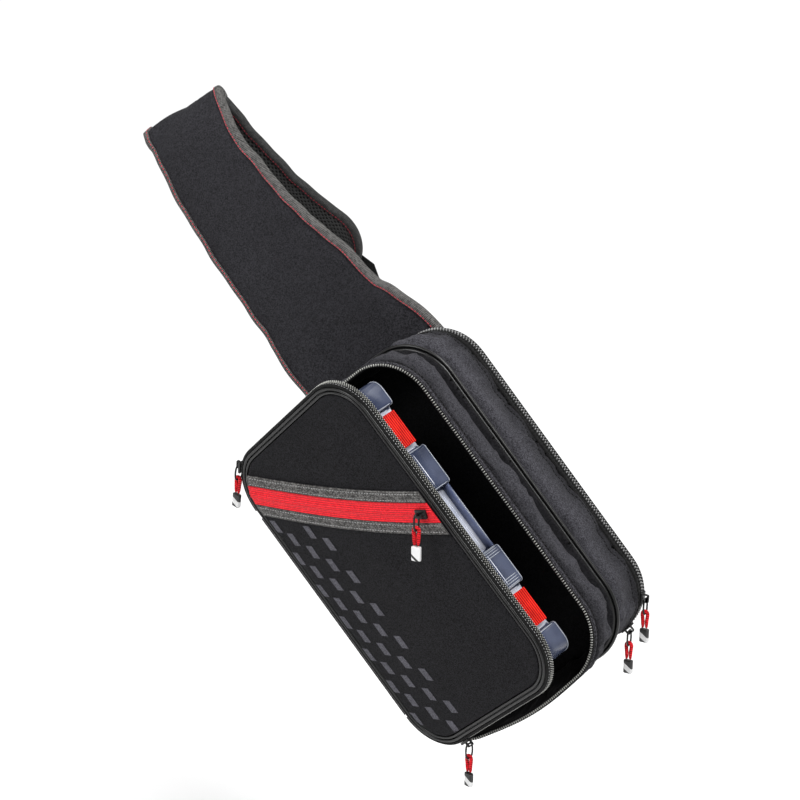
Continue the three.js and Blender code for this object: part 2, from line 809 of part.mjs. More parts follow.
function buildStrap() {
  const half = strapThickness / 2;
  const inset = bindingWidth + strapSeam;
  const liningTop = -half + strapLining;
  const bevel = 3;
  const padSection = (side) => {
    const edge = Math.max(side - bevel, side * 0.4);
    return [
      [-side, liningTop + strapSeam],
      [side, liningTop + strapSeam],
      [side, half - bevel / 2],
      [edge, half],
      [-edge, half],
      [-side, half - bevel / 2],
    ];
  };
  const liningSection = (side) => [
    [-side, liningTop],
    [side, liningTop],
    [side, -half],
    [-side, -half],
  ];
  addPiece(bag, 'strap_pad', strapLayer(inset, padSection), 'cloth');
  addPiece(bag, 'strap_lining', strapLayer(inset, liningSection), 'mesh');
  addPiece(bag, 'strap_binding', strapBinding(), 'greyTape');
}

// Webbing from the strap's tip to the adjuster at the lower left corner of the back panel
const anchorX = -anchorAcross * bagWidth;
const anchorZ = -anchorAlong * bagLength;
const backFace = seamGap + backPadding;
const webbingLift = strapThickness / 2 + bindingProud + seamGap + webbingThickness / 2;

const webbingOnTip = (share) =>
  onStrap(strapFrame(1, tipRadius * share), webbingSide, webbingLift);
const webbingStart = webbingOnTip(0.1);
const webbingMiddle = webbingOnTip(0.7);
const webbingLeave = webbingOnTip(1.2);

const adjusterY = backFace + seamGap + webbingThickness * 2 + adjusterThickness;
const adjusterTilt = Math.atan2(webbingLeave.x - anchorX, webbingLeave.z - anchorZ);

// Points in the adjuster's own plane, which leans with the webbing's run across the back
function adjusterPoint(side, lift, up) {
  const height = anchorLength + up;
  return vec(
    anchorX + Math.sin(adjusterTilt) * height + Math.cos(adjusterTilt) * side,
    adjusterY + lift,
    anchorZ + Math.cos(adjusterTilt) * height - Math.sin(adjusterTilt) * side,
  );
}

// A flat strip along a line of points; sideAt gives the direction across it at each point
function stripAlong(line, width, thickness, sideAt) {
  const rings = line.map((p, i) => {
    const side = sideAt(i);
    const before = line[Math.max(0, i - 1)];
    const after = line[Math.min(line.length - 1, i + 1)];
    const along = after.clone().sub(before).normalize();
    const across = side.clone().addScaledVector(along, -along.dot(side)).normalize();
    const normal = along.clone().cross(across).normalize();
    const corner = (a, b) => p.clone()
      .addScaledVector(across, (a * width) / 2)
      .addScaledVector(normal, (b * thickness) / 2);
    return [corner(-1, -1), corner(1, -1), corner(1, 1), corner(-1, 1)];
  });
  return skin(rings, { capStart: [[0, 0], [1, 0], [1, 1], [0, 1]] });
}

function buildWebbing() {
  const acrossWebbing = vec(Math.cos(adjusterTilt), 0, -Math.sin(adjusterTilt));
  const barHalf = adjusterBar / 2;
  const topBar = adjusterHeight / 2 - barHalf;
  const reach = adjusterThickness / 2 + webbingThickness / 2 + 2 * seamGap;
  const entry = adjusterPoint(0, reach, topBar + adjusterBar * 2);
  const turnDrop = webbingThickness + 3 * seamGap;
  const belly = webbingLeave.clone().lerp(entry, 0.5);
  const run = new THREE.CatmullRomCurve3(
    [webbingLeave, belly, entry], false, 'centripetal',
  );
  const line = [webbingStart, webbingMiddle, ...run.getPoints(14)];
  const round = (edge, way) => Array.from({ length: turnSteps + 1 }, (_, i) => {
    const angle = (Math.PI * i) / turnSteps;
    const drop = seamGap - turnDrop * Math.sin(angle);
    return adjusterPoint(0, reach * Math.cos(angle), edge - way * drop);
  });
  const loop = [
    ...round(topBar - barHalf, -1),
    adjusterPoint(0, -reach, topBar + adjusterBar * 1.2),
  ];
  const tipAcross = strapFrame(1).across;
  const across = (i) => tipAcross.clone().lerp(acrossWebbing, Math.min(1, Math.max(0, i - 2) / 8));
  const webbing = stripAlong([...line, ...loop], webbingWidth, webbingThickness, across);
  addPiece(bag, 'strap_webbing', webbing, 'webbing');

  // Plain ladder adjuster: a frame with one bar across its middle
  const shape = new THREE.Shape();
  const w = adjusterWidth / 2;
  const h = adjusterHeight / 2;
  shape.moveTo(-w, -h).lineTo(w, -h).lineTo(w, h).lineTo(-w, h).lineTo(-w, -h);
  const slotHalf = webbingWidth / 2 + 1.5;
  [[adjusterBar / 2, h - adjusterBar], [-h + adjusterBar, -adjusterBar / 2]].forEach(([a, b]) => {
    const slot = new THREE.Path();
    slot.moveTo(-slotHalf, a).lineTo(slotHalf, a).lineTo(slotHalf, b).lineTo(-slotHalf, b);
    slot.lineTo(-slotHalf, a);
    shape.holes.push(slot);
  });
  const frame = new THREE.ExtrudeGeometry(shape, { depth: adjusterThickness, bevelEnabled: false });
  frame.translate(0, 0, -adjusterThickness / 2);
  const turned = frame.applyMatrix4(new THREE.Matrix4().makeRotationX(Math.PI / 2));
  const mesh = addPiece(bag, 'strap_adjuster', turned, 'plastic');
  mesh.position.copy(adjusterPoint(0, 0, 0));
  mesh.rotation.y = adjusterTilt;

  // Anchor tab: sewn flat on the back panel and folded round the adjuster's lower bar
  const lowBar = -topBar;
  const flatLift = backFace + seamGap + webbingThickness / 2 - adjusterY;
  const foldedLift = flatLift + webbingThickness + seamGap;
  const tabLine = [
    adjusterPoint(0, flatLift, -anchorLength - adjusterBar),
    adjusterPoint(0, flatLift, lowBar - adjusterBar * 1.6),
    ...round(lowBar + barHalf, 1).reverse(),
    adjusterPoint(0, reach, lowBar - barHalf),
    adjusterPoint(0, foldedLift, lowBar - adjusterBar * 1.8),
    adjusterPoint(0, foldedLift, -anchorLength),
  ];
  const tab = stripAlong(tabLine, webbingWidth, webbingThickness, () => acrossWebbing);
  addPiece(bag, 'anchor_tab', tab, 'webbing');
}

// Whole bag: tilted as it hangs, with the inside of the shoulder fold at the origin
const part = new THREE.Group();
const foldFrame = strapFrame(foldRow / (strapRows.length - 1));
const mountPoint = onStrap(foldFrame, 0, -strapThickness / 2);
const tilt = new THREE.Matrix4().makeRotationY(-wearTilt * deg);
bag.rotation.y = -wearTilt * deg;
bag.position.copy(mountPoint.clone().applyMatrix4(tilt).negate());
part.add(bag);

// Zip pulls hang straight down, whatever the slider's direction
function sliderGeometry() {
  const body = new THREE.BoxGeometry(sliderLength, sliderWidth, sliderHeight);
  body.translate(0, 0, sliderHeight / 2);
  const foot = sliderLength * 0.36;
  const top = sliderHeight + bridgeRise + bridgeWall;
  const base = sliderHeight / 2;
  const arch = new THREE.Shape([
    [-foot, base], [foot, base], [foot, top - 1], [foot - 1, top], [-foot + 1, top], [-foot, top - 1],
  ].map(([x, y]) => new THREE.Vector2(x, y)));
  const hole = foot - bridgeWall;
  arch.holes.push(new THREE.Path([
    [-hole, sliderHeight], [hole, sliderHeight], [hole, top - bridgeWall], [-hole, top - bridgeWall],
  ].map(([x, y]) => new THREE.Vector2(x, y))));
  const bridge = new THREE.ExtrudeGeometry(arch, { depth: bridgeWidth, bevelEnabled: false });
  bridge.translate(0, 0, -bridgeWidth / 2);
  bridge.rotateX(Math.PI / 2);
  return unite(body, bridge);
}

function wireGeometry() {
  const across = wireWidth / 2 - wireRadius;
  const drop = wireLength - 2 * wireRadius;
  const rings = [];
  for (let i = 0; i < wireSteps; i += 1) {
    const angle = (i * 2 * Math.PI) / wireSteps;
    const y = across * Math.sign(Math.cos(angle)) * Math.abs(Math.cos(angle)) ** wireSquare;
    const z = (drop / 2) * (Math.sin(angle) - 1);
    const outY = Math.cos(angle);
    const outZ = Math.sin(angle);
    const ring = Array.from({ length: cordSides }, (_, k) => {
      const turn = (k * 2 * Math.PI) / cordSides;
      const out = wireRadius * Math.cos(turn);
      return vec(wireRadius * Math.sin(turn), y + outY * out, z + outZ * out);
    });
    rings.push(ring);
  }
  return skin(rings, { closed: true });
}

const wireDrop = wireLength - 2 * wireRadius;
const tipTop = -wireDrop + wireRadius * 2 + cordRadius - cordLength;

function cordGeometry() {
  const apex = -wireDrop + wireRadius + seamGap + cordRadius;
  const spread = wireRadius + cordRadius + seamGap;
  const foot = cordRadius + seamGap;
  const path = new THREE.CatmullRomCurve3([
    vec(-foot, 0, tipTop + seamGap),
    vec(-foot, 0, tipTop + cordLength * 0.45),
    vec(-spread, 0, -wireDrop - wireRadius),
    vec(-spread * 0.72, 0, apex - cordRadius * 0.7),
    vec(0, 0, apex),
    vec(spread * 0.72, 0, apex - cordRadius * 0.7),
    vec(spread, 0, -wireDrop - wireRadius),
    vec(foot, 0, tipTop + cordLength * 0.45),
    vec(foot, 0, tipTop + seamGap),
  ]);
  const line = path.getPoints(cordSteps);
  const rings = line.map((p, i) => {
    const along = path.getTangent(i / cordSteps);
    const out = vec(-along.z, 0, along.x);
    return Array.from({ length: cordSides }, (_, k) => {
      const turn = (k * 2 * Math.PI) / cordSides;
      return p.clone()
        .addScaledVector(out, cordRadius * Math.cos(turn))
        .add(vec(0, cordRadius * Math.sin(turn), 0));
    });
  });
  return skin(rings, { capStart: [[1, 0], [0.3, 0.9], [-0.8, 0.6], [-0.8, -0.6], [0.3, -0.9]] });
}

function tipGeometry() {
  const edge = tipWidth * 0.12;
  const w = tipWidth / 2;
  const t = tipThickness / 2;
  const section = [
    [-w + edge, -t], [w - edge, -t], [w, -t + edge], [w, t - edge],
    [w - edge, t], [-w + edge, t], [-w, t - edge], [-w, -t + edge],
  ];
  const rings = [0, 1].map((end) => section.map(([x, y]) => vec(x, y, tipTop - end * tipLength)));
  return skin(rings, { capStart: section });
}

// A pull on a slider: frame gives the slider's place, its direction along the zip and outward
function buildPull(name, frame, { forward = 0, lean = 0, heading = 0 } = {}) {
  const across = frame.outward.clone().cross(frame.along).normalize();
  const basis = new THREE.Matrix4().makeBasis(frame.along, across, frame.outward);
  const slider = addPiece(part, `${name}_slider`, sliderGeometry(), 'metal');
  const seat = frame.place.clone().addScaledVector(frame.outward, seamGap);
  slider.applyMatrix4(basis.setPosition(seat));

  const holeLift = seamGap + sliderHeight + bridgeRise / 2;
  const hole = frame.place.clone().addScaledVector(frame.outward, holeLift);
  const hanging = new THREE.Group();
  hanging.position.copy(hole);
  hanging.position.y -= forward;
  hanging.rotation.set(0, lean * deg, heading * deg, 'ZYX');
  const wire = addPiece(hanging, `${name}_loop`, wireGeometry(), 'metal');
  const cord = addPiece(hanging, `${name}_cord`, cordGeometry(), 'cord');
  const tip = addPiece(hanging, `${name}_tip`, tipGeometry(), 'tip');
  [wire, cord, tip].forEach((piece) => {
    piece.position.z = forward > 0 ? bridgeWidth / 2 + 2 * wireRadius + seamGap : 0;
  });
  part.add(hanging);
}

// Place, direction and outward normal on a rim zip, in the finished frame
function rimFrame(group, x, z, y, width, length, corner) {
  group.updateWorldMatrix(true, false);
  const halfX = width / 2 - corner;
  const halfZ = length / 2 - corner;
  const centre = new THREE.Vector2(
    THREE.MathUtils.clamp(x, -halfX, halfX),
    THREE.MathUtils.clamp(z, -halfZ, halfZ),
  );
  const out = new THREE.Vector2(x, z).sub(centre).normalize();
  const rotation = new THREE.Matrix3().setFromMatrix4(group.matrixWorld);
  const outward = vec(out.x, 0, out.y).applyMatrix3(rotation);
  const along = vec(-out.y, 0, out.x).applyMatrix3(rotation);
  const place = vec(centre.x + out.x * corner, y, centre.y + out.y * corner);
  return { place: place.applyMatrix4(group.matrixWorld), along, outward };
}

function buildPulls() {
  part.updateMatrixWorld(true);
  const rear = (x, z) => rimFrame(bag, x * bagWidth, z * bagLength, -zipBand / 2,
    bagWidth, bagLength, bagCorner);
  buildPull('pull_rear_a', rear(0.45, -0.46));
  buildPull('pull_rear_b', rear(0.3, -0.5));
  const bandMiddle = (pipingSeat - lidPiping / 2 + flangeBack) / 2;
  const rim = (x, z) => rimFrame(lid, x * bagWidth, z * lidLength, bandMiddle,
    bagWidth, lidLength, lidCorner);
  buildPull('pull_lid_bottom', rim(-0.27, -0.5), { heading: -lidOpening });
  buildPull('pull_lid_top', rim(-0.43, 0.5), { lean: 8, heading: -lidOpening });

  const at = pocketLine.getPoint(pocketSliderAlong);
  const tangent = pocketLine.getTangent(pocketSliderAlong);
  const surfaceAt = (x, z) => vec(x, lidFront(x, z) - seamGap - pocketThickness, z);
  const place = surfaceAt(at.x, at.y);
  const along = surfaceAt(at.x + tangent.x, at.y + tangent.y).sub(place).normalize();
  const across = surfaceAt(at.x - tangent.y, at.y + tangent.x).sub(place).normalize();
  const outward = along.clone().cross(across);
  const rotation = new THREE.Matrix3().setFromMatrix4(lid.matrixWorld);
  buildPull('pull_pocket', {
    place: place.applyMatrix4(lid.matrixWorld),
    along: along.applyMatrix3(rotation),
    outward: outward.applyMatrix3(rotation),
  }, { forward: wireWidth / 2 - wireRadius });
}

buildBody();
buildLid();
buildHinge();
buildPocket();
buildBox();
buildLatches();
buildStrap();
buildWebbing();
buildPulls();

export default part;
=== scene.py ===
"""Looks of the fishing tackle sling bag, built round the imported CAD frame.

Pieces are worked out in millimetres, in the bag's own upright frame or in the opened lid's
frame, and are then turned into the row frame in metres. In both frames x runs across, y runs
from the front to the wearer's back and z runs along the bag.
"""

import math

import bmesh
import bpy
import numpy as np
from mathutils import Matrix, Vector, noise
from mathutils.bvhtree import BVHTree


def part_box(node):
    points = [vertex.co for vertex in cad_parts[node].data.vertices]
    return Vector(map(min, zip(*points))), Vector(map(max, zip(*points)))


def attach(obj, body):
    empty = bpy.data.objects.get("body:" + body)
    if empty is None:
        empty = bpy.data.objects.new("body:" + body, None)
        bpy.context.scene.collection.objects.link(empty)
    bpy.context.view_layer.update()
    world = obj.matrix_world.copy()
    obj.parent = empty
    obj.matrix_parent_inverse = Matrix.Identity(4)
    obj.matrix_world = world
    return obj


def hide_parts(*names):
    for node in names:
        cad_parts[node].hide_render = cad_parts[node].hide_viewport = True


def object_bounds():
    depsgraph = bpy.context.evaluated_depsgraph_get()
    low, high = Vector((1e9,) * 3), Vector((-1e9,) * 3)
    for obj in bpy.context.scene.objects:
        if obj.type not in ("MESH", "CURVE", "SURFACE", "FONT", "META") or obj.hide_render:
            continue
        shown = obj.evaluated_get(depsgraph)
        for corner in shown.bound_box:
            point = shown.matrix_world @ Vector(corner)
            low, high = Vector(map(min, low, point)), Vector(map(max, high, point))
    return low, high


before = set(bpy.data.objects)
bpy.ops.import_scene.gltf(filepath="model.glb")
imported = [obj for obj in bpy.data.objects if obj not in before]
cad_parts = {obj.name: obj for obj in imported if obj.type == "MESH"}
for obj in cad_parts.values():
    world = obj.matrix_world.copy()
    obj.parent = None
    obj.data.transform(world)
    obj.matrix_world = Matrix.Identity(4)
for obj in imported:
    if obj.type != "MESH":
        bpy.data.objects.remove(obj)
cad_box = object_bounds()

MM = 0.001

# Sizes shared with the CAD source
BAG_WIDTH = 206
BAG_LENGTH = 304
BAG_CORNER = 45
REAR_DEPTH = 62
FRONT_DEPTH = 44
REAR_ZIP = 14
FRONT_ZIP = 7.6
BACK_PADDING = 9.4
WALL = 2.2
SEAM = 0.3
PIPING = 2.5
SAG = 9.5
WEAR_TILT = 41.75

LID_LENGTH = 302
LID_CORNER = 43
LID_OPENING = 15.8
LID_TWIST = 1.44
LID_PITCH = 1.2
LID_GAP = 4
LID_SHIFT = 1
LID_RISE = 3.1
LID_DEPTH = 7
LID_CROWN = 3.5
LID_WALL = 2.4
LID_BAND = 2.7
LID_PIPING = 2.9
LID_FLANGE = 1.6

POCKET_LEFT = 129
POCKET_RIGHT = 9
POCKET_SAG = 9
POCKET_ZIP = 17
POCKET_TAPE = 10

BOX_LENGTH = 267
BOX_WIDTH = 178.5
BOX_DEPTH = 37.7
BOX_DROP = 3
BOX_HINGE_CLEAR = 6.5
BOX_WALL = 1.8
BOX_LID_DEPTH = 4.2
LATCH_LENGTH = 31
LATCH_SPREAD = 88
LATCH_REACH = 26
LATCH_BARREL = 2.2

STRAP_RISE = 284
STRAP_FOLD = 88
STRAP_GAP = 28
STRAP_THICKNESS = 8
STRAP_LINING = 2.7
BINDING = 5.5
BINDING_PROUD = 0.6

FRONT_RIM = -REAR_DEPTH - FRONT_DEPTH
CLOTH_FRAMES = 20


# Frames

def turned(x=0, y=0, z=0):
    """Rotation about x, then y, then z as the CAD source writes it, in degrees."""
    about = [Matrix.Rotation(math.radians(a), 4, axis) for a, axis in ((x, "X"), (y, "Y"), (z, "Z"))]
    return about[0] @ about[1] @ about[2]


seam_low, seam_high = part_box("side_piping")
bag_centre = (seam_low + seam_high) / 2
bag_centre.y += REAR_DEPTH * MM
BAG = Matrix.Translation(bag_centre) @ turned(y=-WEAR_TILT) @ Matrix.Scale(MM, 4)
LID_IN_BAG = (
    Matrix.Translation((LID_SHIFT - BAG_WIDTH / 2, FRONT_RIM - LID_GAP, LID_RISE))
    @ turned(-LID_PITCH, -LID_TWIST, -LID_OPENING)
    @ Matrix.Translation((BAG_WIDTH / 2, 0, 0))
)
LID = BAG @ LID_IN_BAG


def add_object(name, data):
    """An object of this name and data, linked into the scene."""
    obj = bpy.data.objects.new(name, data)
    bpy.context.scene.collection.objects.link(obj)
    return obj


# Camera, at the photograph's angle

CAMERA_FROM_BAG = Vector((828.5, -1670.2, 797.1))
CAMERA_AZIMUTH = 28.39
CAMERA_ELEVATION = 20.41
CAMERA_LENS = 105.17
CAMERA_SENSOR = 36

camera_data = bpy.data.cameras.new("camera")
camera_data.lens = CAMERA_LENS
camera_data.sensor_width = CAMERA_SENSOR
camera = add_object("camera", camera_data)
camera.location = bag_centre + CAMERA_FROM_BAG * MM
camera.rotation_euler = (
    math.radians(90 - CAMERA_ELEVATION), 0, math.radians(CAMERA_AZIMUTH),
)
bpy.context.scene.camera = camera


# Materials

class Graph:
    """A node material under construction."""

    def __init__(self, name):
        self.material = bpy.data.materials.new(name)
        self.material.use_nodes = True
        self.tree = self.material.node_tree
        self.shader = self.tree.nodes["Principled BSDF"]

    def add(self, kind, **values):
        node = self.tree.nodes.new(kind)
        for key, value in values.items():
            if key in node.inputs:
                node.inputs[key].default_value = value
            else:
                setattr(node, key, value)
        return node

    def link(self, source, target):
        self.tree.links.new(source, target)

    def math(self, operation, a, b):
        node = self.add("ShaderNodeMath", operation=operation)
        for socket, value in zip(node.inputs, (a, b)):
            if isinstance(value, (int, float)):
                socket.default_value = value
            else:
                self.link(value, socket)
        return node.outputs[0]

    def mixed(self, a, share, b):
        """A blend of two values with this share of the first."""
        return self.math("ADD", self.math("MULTIPLY", a, share), self.math("MULTIPLY", b, 1 - share))

    def multiply(self, a, b):
        """One colour darkened by another."""
        node = self.add("ShaderNodeMix", data_type="RGBA", blend_type="MULTIPLY", Factor=1)
        self.link(a, node.inputs[6])
        self.link(b, node.inputs[7])
        return node.outputs[2]

    def millimetres(self):
        """Coordinates in millimetres, fixed to the object."""
        place = self.add("ShaderNodeTexCoord")
        scale = self.add("ShaderNodeVectorMath", operation="SCALE", Scale=1000)
        self.link(place.outputs["Object"], scale.inputs[0])
        return scale.outputs[0]

    def surface(self):
        """Coordinates in millimetres along and across the piece's own surface."""
        return self.add("ShaderNodeTexCoord").outputs["UV"]

    def axis(self, where, name):
        """One coordinate of a place."""
        parts = self.add("ShaderNodeSeparateXYZ")
        self.link(where, parts.inputs[0])
        return parts.outputs[name]

    def noise(self, where, size, detail=2.0):
        node = self.add("ShaderNodeTexNoise", Scale=1 / size, Detail=detail, Roughness=0.5)
        self.link(where, node.inputs["Vector"])
        return node.outputs["Fac"]

    def cells(self, where, size, randomness):
        node = self.add("ShaderNodeTexVoronoi", Scale=1 / size, Randomness=randomness)
        self.link(where, node.inputs["Vector"])
        return node.outputs

    def speckle(self, where, size):
        """A value of its own for each small cell of this size in millimetres."""
        channels = self.add("ShaderNodeSeparateColor")
        self.link(self.cells(where, size, 0.6)["Color"], channels.inputs[0])
        return channels.outputs[0]

    def stripes(self, where, pitch, axis):
        """A smooth wave from 0 to 1 with this pitch in millimetres."""
        node = self.add("ShaderNodeTexWave", bands_direction=axis, Scale=math.pi / (10 * pitch))
        self.link(where, node.inputs["Vector"])
        return node.outputs["Fac"]

    def ramp(self, factor, *stops):
        node = self.add("ShaderNodeValToRGB")
        elements = node.color_ramp.elements
        while len(elements) < len(stops):
            elements.new(0.5)
        for element, (at, color) in zip(elements, stops):
            element.position = at
            element.color = (*color, 1)
        self.link(factor, node.inputs["Fac"])
        return node.outputs["Color"]

    def bump(self, height, depth, strength, after=None):
        """Surface relief of a depth in millimetres."""
        node = self.add("ShaderNodeBump", Strength=strength, Distance=depth * MM)
        self.link(height, node.inputs["Height"])
        if after is not None:
            self.link(after, node.inputs["Normal"])
        return node.outputs["Normal"]

    def set(self, **values):
        for key, value in values.items():
            self.shader.inputs[key.replace("_", " ")].default_value = value

    def done(self, color, normal, gloss=0.5, **values):
        """The material with its colour, its relief and other values of the shader by name."""
        self.link(color, self.shader.inputs["Base Color"])
        self.link(normal, self.shader.inputs["Normal"])
        self.set(Specular_IOR_Level=gloss, **values)
        return self.material


def grey(value, warmth=0.0):
    return (value * (1 + warmth), value, value * (1 - warmth))


def cool(value):
    """The faintly blue black of the bag's cloth."""
    return (value, value * 0.98, value * 1.14)


def fabric(name, dark, light, grain=1.1, relief=0.3, weave=0.0, roughness=0.9, sheen=0.02,
           gloss=0.12, across=()):
    """Woven cloth: threads of two tones, a grain and, with a weave, crossing threads.

    across lists brightness at distances across the surface: painted shade that darkens the cloth
    towards its seams."""
    g = Graph(name)
    where = g.millimetres()
    threads = g.speckle(g.surface() if weave else where, 0.85 * (weave or grain))
    mixed = g.mixed(g.noise(where, grain, detail=3), 0.3, threads)
    shade = g.ramp(g.noise(where, 60, detail=1), (0.3, grey(0.86)), (0.7, grey(1.0)))
    color = g.multiply(g.ramp(mixed, (0.15, dark), (0.85, light)), shade)
    # Painted shade: the colour is darkened by distance across the surface, towards the seams.
    if across:
        width = across[-1][0]
        share = g.math("DIVIDE", g.axis(g.surface(), "Y"), width)
        painted_seam_shade = g.ramp(share, *((at / width, grey(level)) for at, level in across))
        color = g.multiply(color, painted_seam_shade)
    normal = g.bump(mixed, relief, 0.8)
    if weave:
        surface = g.surface()
        waves = [g.stripes(surface, weave, axis) for axis in "XY"]
        normal = g.bump(g.math("MAXIMUM", *waves), relief, 0.5, after=normal)
    return g.done(color, normal, gloss, Roughness=roughness, Sheen_Weight=sheen,
                  Sheen_Roughness=0.45)


def ribbed(name, dark, light, along=0.0, across=0.0, relief=0.25, roughness=0.8, gloss=0.15,
           thread=1.2):
    """Tape or webbing: threads of two tones with ribs along it, across it or both."""
    g = Graph(name)
    surface = g.surface()
    threads = g.speckle(surface, thread)
    waves = [g.stripes(surface, pitch, axis) for pitch, axis in ((along, "Y"), (across, "X")) if pitch]
    ribs = g.math("MULTIPLY", *waves) if len(waves) == 2 else waves[0]
    color = g.ramp(g.mixed(ribs, 0.5, threads), (0.2, dark), (0.75, light))
    normal = g.bump(ribs, relief, 0.9, after=g.bump(threads, relief * 0.6, 0.6))
    return g.done(color, normal, gloss, Roughness=roughness, Sheen_Weight=0.02)


def spacer_mesh(name, hole, strand, cell):
    """Open spacer mesh: round holes between raised strands, in staggered rows."""
    g = Graph(name)
    turn = g.add("ShaderNodeMapping", Rotation=(0, 0, math.radians(45)))
    g.link(g.surface(), turn.inputs["Vector"])
    distance = g.cells(turn.outputs[0], cell, 0.12)["Distance"]
    shape = g.ramp(distance, (0.2, grey(0)), (0.45, grey(1)))
    threads = g.bump(g.noise(g.millimetres(), 0.5), 0.15, 0.6)
    return g.done(
        g.ramp(distance, (0.28, hole), (0.38, strand)), g.bump(shape, 0.9, 1.0, after=threads),
        gloss=0.2, Roughness=0.8, Sheen_Weight=0.05,
    )


def moulded(name, color, roughness=0.4, relief=0.05, metallic=0.0, gloss=0.5):
    """Moulded plastic, thread or painted metal with a faint uneven gloss."""
    g = Graph(name)
    where = g.millimetres()
    broad = g.noise(where, 9)
    light = tuple(min(1, c * 1.25 + 0.004) for c in color)
    dark = tuple(c * 0.82 for c in color)
    uneven = g.add("ShaderNodeMapRange")
    uneven.inputs["To Min"].default_value = roughness * 0.8
    uneven.inputs["To Max"].default_value = min(1, roughness * 1.3)
    g.link(broad, uneven.inputs["Value"])
    g.link(uneven.outputs[0], g.shader.inputs["Roughness"])
    normal = g.bump(g.noise(where, 0.8, detail=3), relief, 0.5)
    return g.done(g.ramp(broad, (0.3, dark), (0.7, light)), normal, gloss, Metallic=metallic)


def clear_plastic(name, dark, light, transmission, roughness):
    """Slightly blue, slightly cloudy clear plastic."""
    g = Graph(name)
    where = g.millimetres()
    color = g.ramp(g.noise(where, 26), (0.35, dark), (0.68, light))
    normal = g.bump(g.noise(where, 14, detail=1), 0.4, 0.35)
    return g.done(color, normal, Roughness=roughness, IOR=1.46, Transmission_Weight=transmission,
                  Coat_Weight=0.15)


def striped_tip(name, base, band, low, high):
    """Moulded tip with one slanted band across it."""
    g = Graph(name)
    place = g.add("ShaderNodeTexCoord").outputs["Generated"]
    slanted = g.math("ADD", g.axis(place, "Z"), g.math("MULTIPLY", g.axis(place, "X"), 0.5))
    above, below = g.math("GREATER_THAN", slanted, low), g.math("LESS_THAN", slanted, high)
    color = g.ramp(g.math("MULTIPLY", above, below), (0.4, grey(base)), (0.6, grey(band)))
    normal = g.bump(g.noise(g.millimetres(), 0.8), 0.06, 0.5)
    return g.done(color, normal, Roughness=0.4)


shell_cloth = fabric("shell_cloth", cool(0.001), cool(0.018), grain=0.8, weave=0.8)
strap_cloth = fabric("strap_cloth", cool(0.008), cool(0.033), grain=0.8, weave=0.8)
# The gussets' cloth carries painted shade: dark by the piping and the zip, lightest at the crest
# between.
rear_cloth_painted_shade = fabric(
    "rear_cloth_painted_shade", cool(0.016), cool(0.072), grain=0.7, weave=0.8, relief=0.4,
    across=((0, 0.12), (6, 0.4), (14, 0.95), (24, 1.0), (36, 0.7), (46, 0.4), (54, 0.22)),
)
front_cloth_painted_shade = fabric(
    "front_cloth_painted_shade", cool(0.016), cool(0.072), grain=0.7, weave=0.8, relief=0.4,
    across=((0, 0.3), (6, 0.55), (16, 0.9), (24, 0.8), (34, 0.36), (44, 0.12)),
)
lining_cloth = fabric("lining_cloth", grey(0.001), cool(0.006))
piping_cloth = fabric("piping_cloth", grey(0.001), grey(0.004), grain=1.6, relief=0.12,
                      roughness=0.3, gloss=0.4, sheen=0)
zip_tape = ribbed("zip_tape", grey(0.001), grey(0.009), across=0.9)
heather_tape = fabric("heather_tape", cool(0.004), cool(0.06), grain=1.0)
zip_teeth = moulded("zip_teeth", grey(0.2), roughness=0.35)
bright_teeth = moulded("bright_teeth", (0.3, 0.3, 0.28), roughness=0.4)
red_tape = ribbed("red_tape", (0.42, 0.004, 0.01), (0.95, 0.02, 0.034), along=2.15, relief=0.5,
                  roughness=0.6, gloss=0.2, thread=0.8)
grey_tape = ribbed("grey_tape", grey(0.02, 0.03), grey(0.2, 0.03), along=1.5, across=1.5)
binding_tape = ribbed("binding_tape", grey(0.012, 0.03), grey(0.12, 0.03), across=1.5, relief=0.3)
# shaded_tape is painted shade: a darker copy of the binding tape for the strap's rear stretch.
shaded_tape = ribbed("shaded_tape", grey(0.004), grey(0.04), across=1.5, relief=0.3)
strap_mesh = spacer_mesh("strap_mesh", grey(0.0005), grey(0.045), cell=3.7)
back_mesh = spacer_mesh("back_mesh", grey(0.0006), grey(0.016), cell=3.9)
webbing_weave = ribbed("webbing_weave", grey(0.002), grey(0.012), across=1.8, along=2.6, relief=0.4)
red_thread = moulded("red_thread", (0.5, 0.024, 0.045), roughness=0.7)
# shaded_red is painted shade: a darker copy of the red thread for the stitches on the strap's mesh
# side.
shaded_red = moulded("shaded_red", (0.2, 0.006, 0.016), roughness=0.7)
grey_thread = moulded("grey_thread", grey(0.3), roughness=0.7)
dark_thread = moulded("dark_thread", grey(0.0015), roughness=0.8, gloss=0.1)
dash_print = fabric("dash_print", cool(0.05), cool(0.12), grain=0.9)
clear_body = clear_plastic("clear_body", (0.018, 0.024, 0.048), (0.056, 0.068, 0.115), 0.12, 0.2)
# Painted light: clear_pale_painted_light paints light seen through the steps' clear walls, and
# clear_blue_painted_light is a lighter blue painted on the grip's wall.
clear_pale_painted_light = clear_plastic("clear_pale_painted_light", (0.42, 0.45, 0.54), (0.86, 0.88, 0.96), 0.05, 0.3)
clear_blue_painted_light = clear_plastic("clear_blue_painted_light", (0.075, 0.095, 0.18), (0.2, 0.23, 0.36), 0.05, 0.25)
# clear_edge_painted_highlight is painted highlight: lightened clear plastic for the pale highlights
# along rims, ribs and the box's lid.
clear_edge_painted_highlight = clear_plastic("clear_edge_painted_highlight", (0.17, 0.19, 0.23), (0.36, 0.38, 0.43), 0.1, 0.25)
latch_plastic = moulded("latch_plastic", (0.62, 0.011, 0.004), roughness=0.5, gloss=0.12)
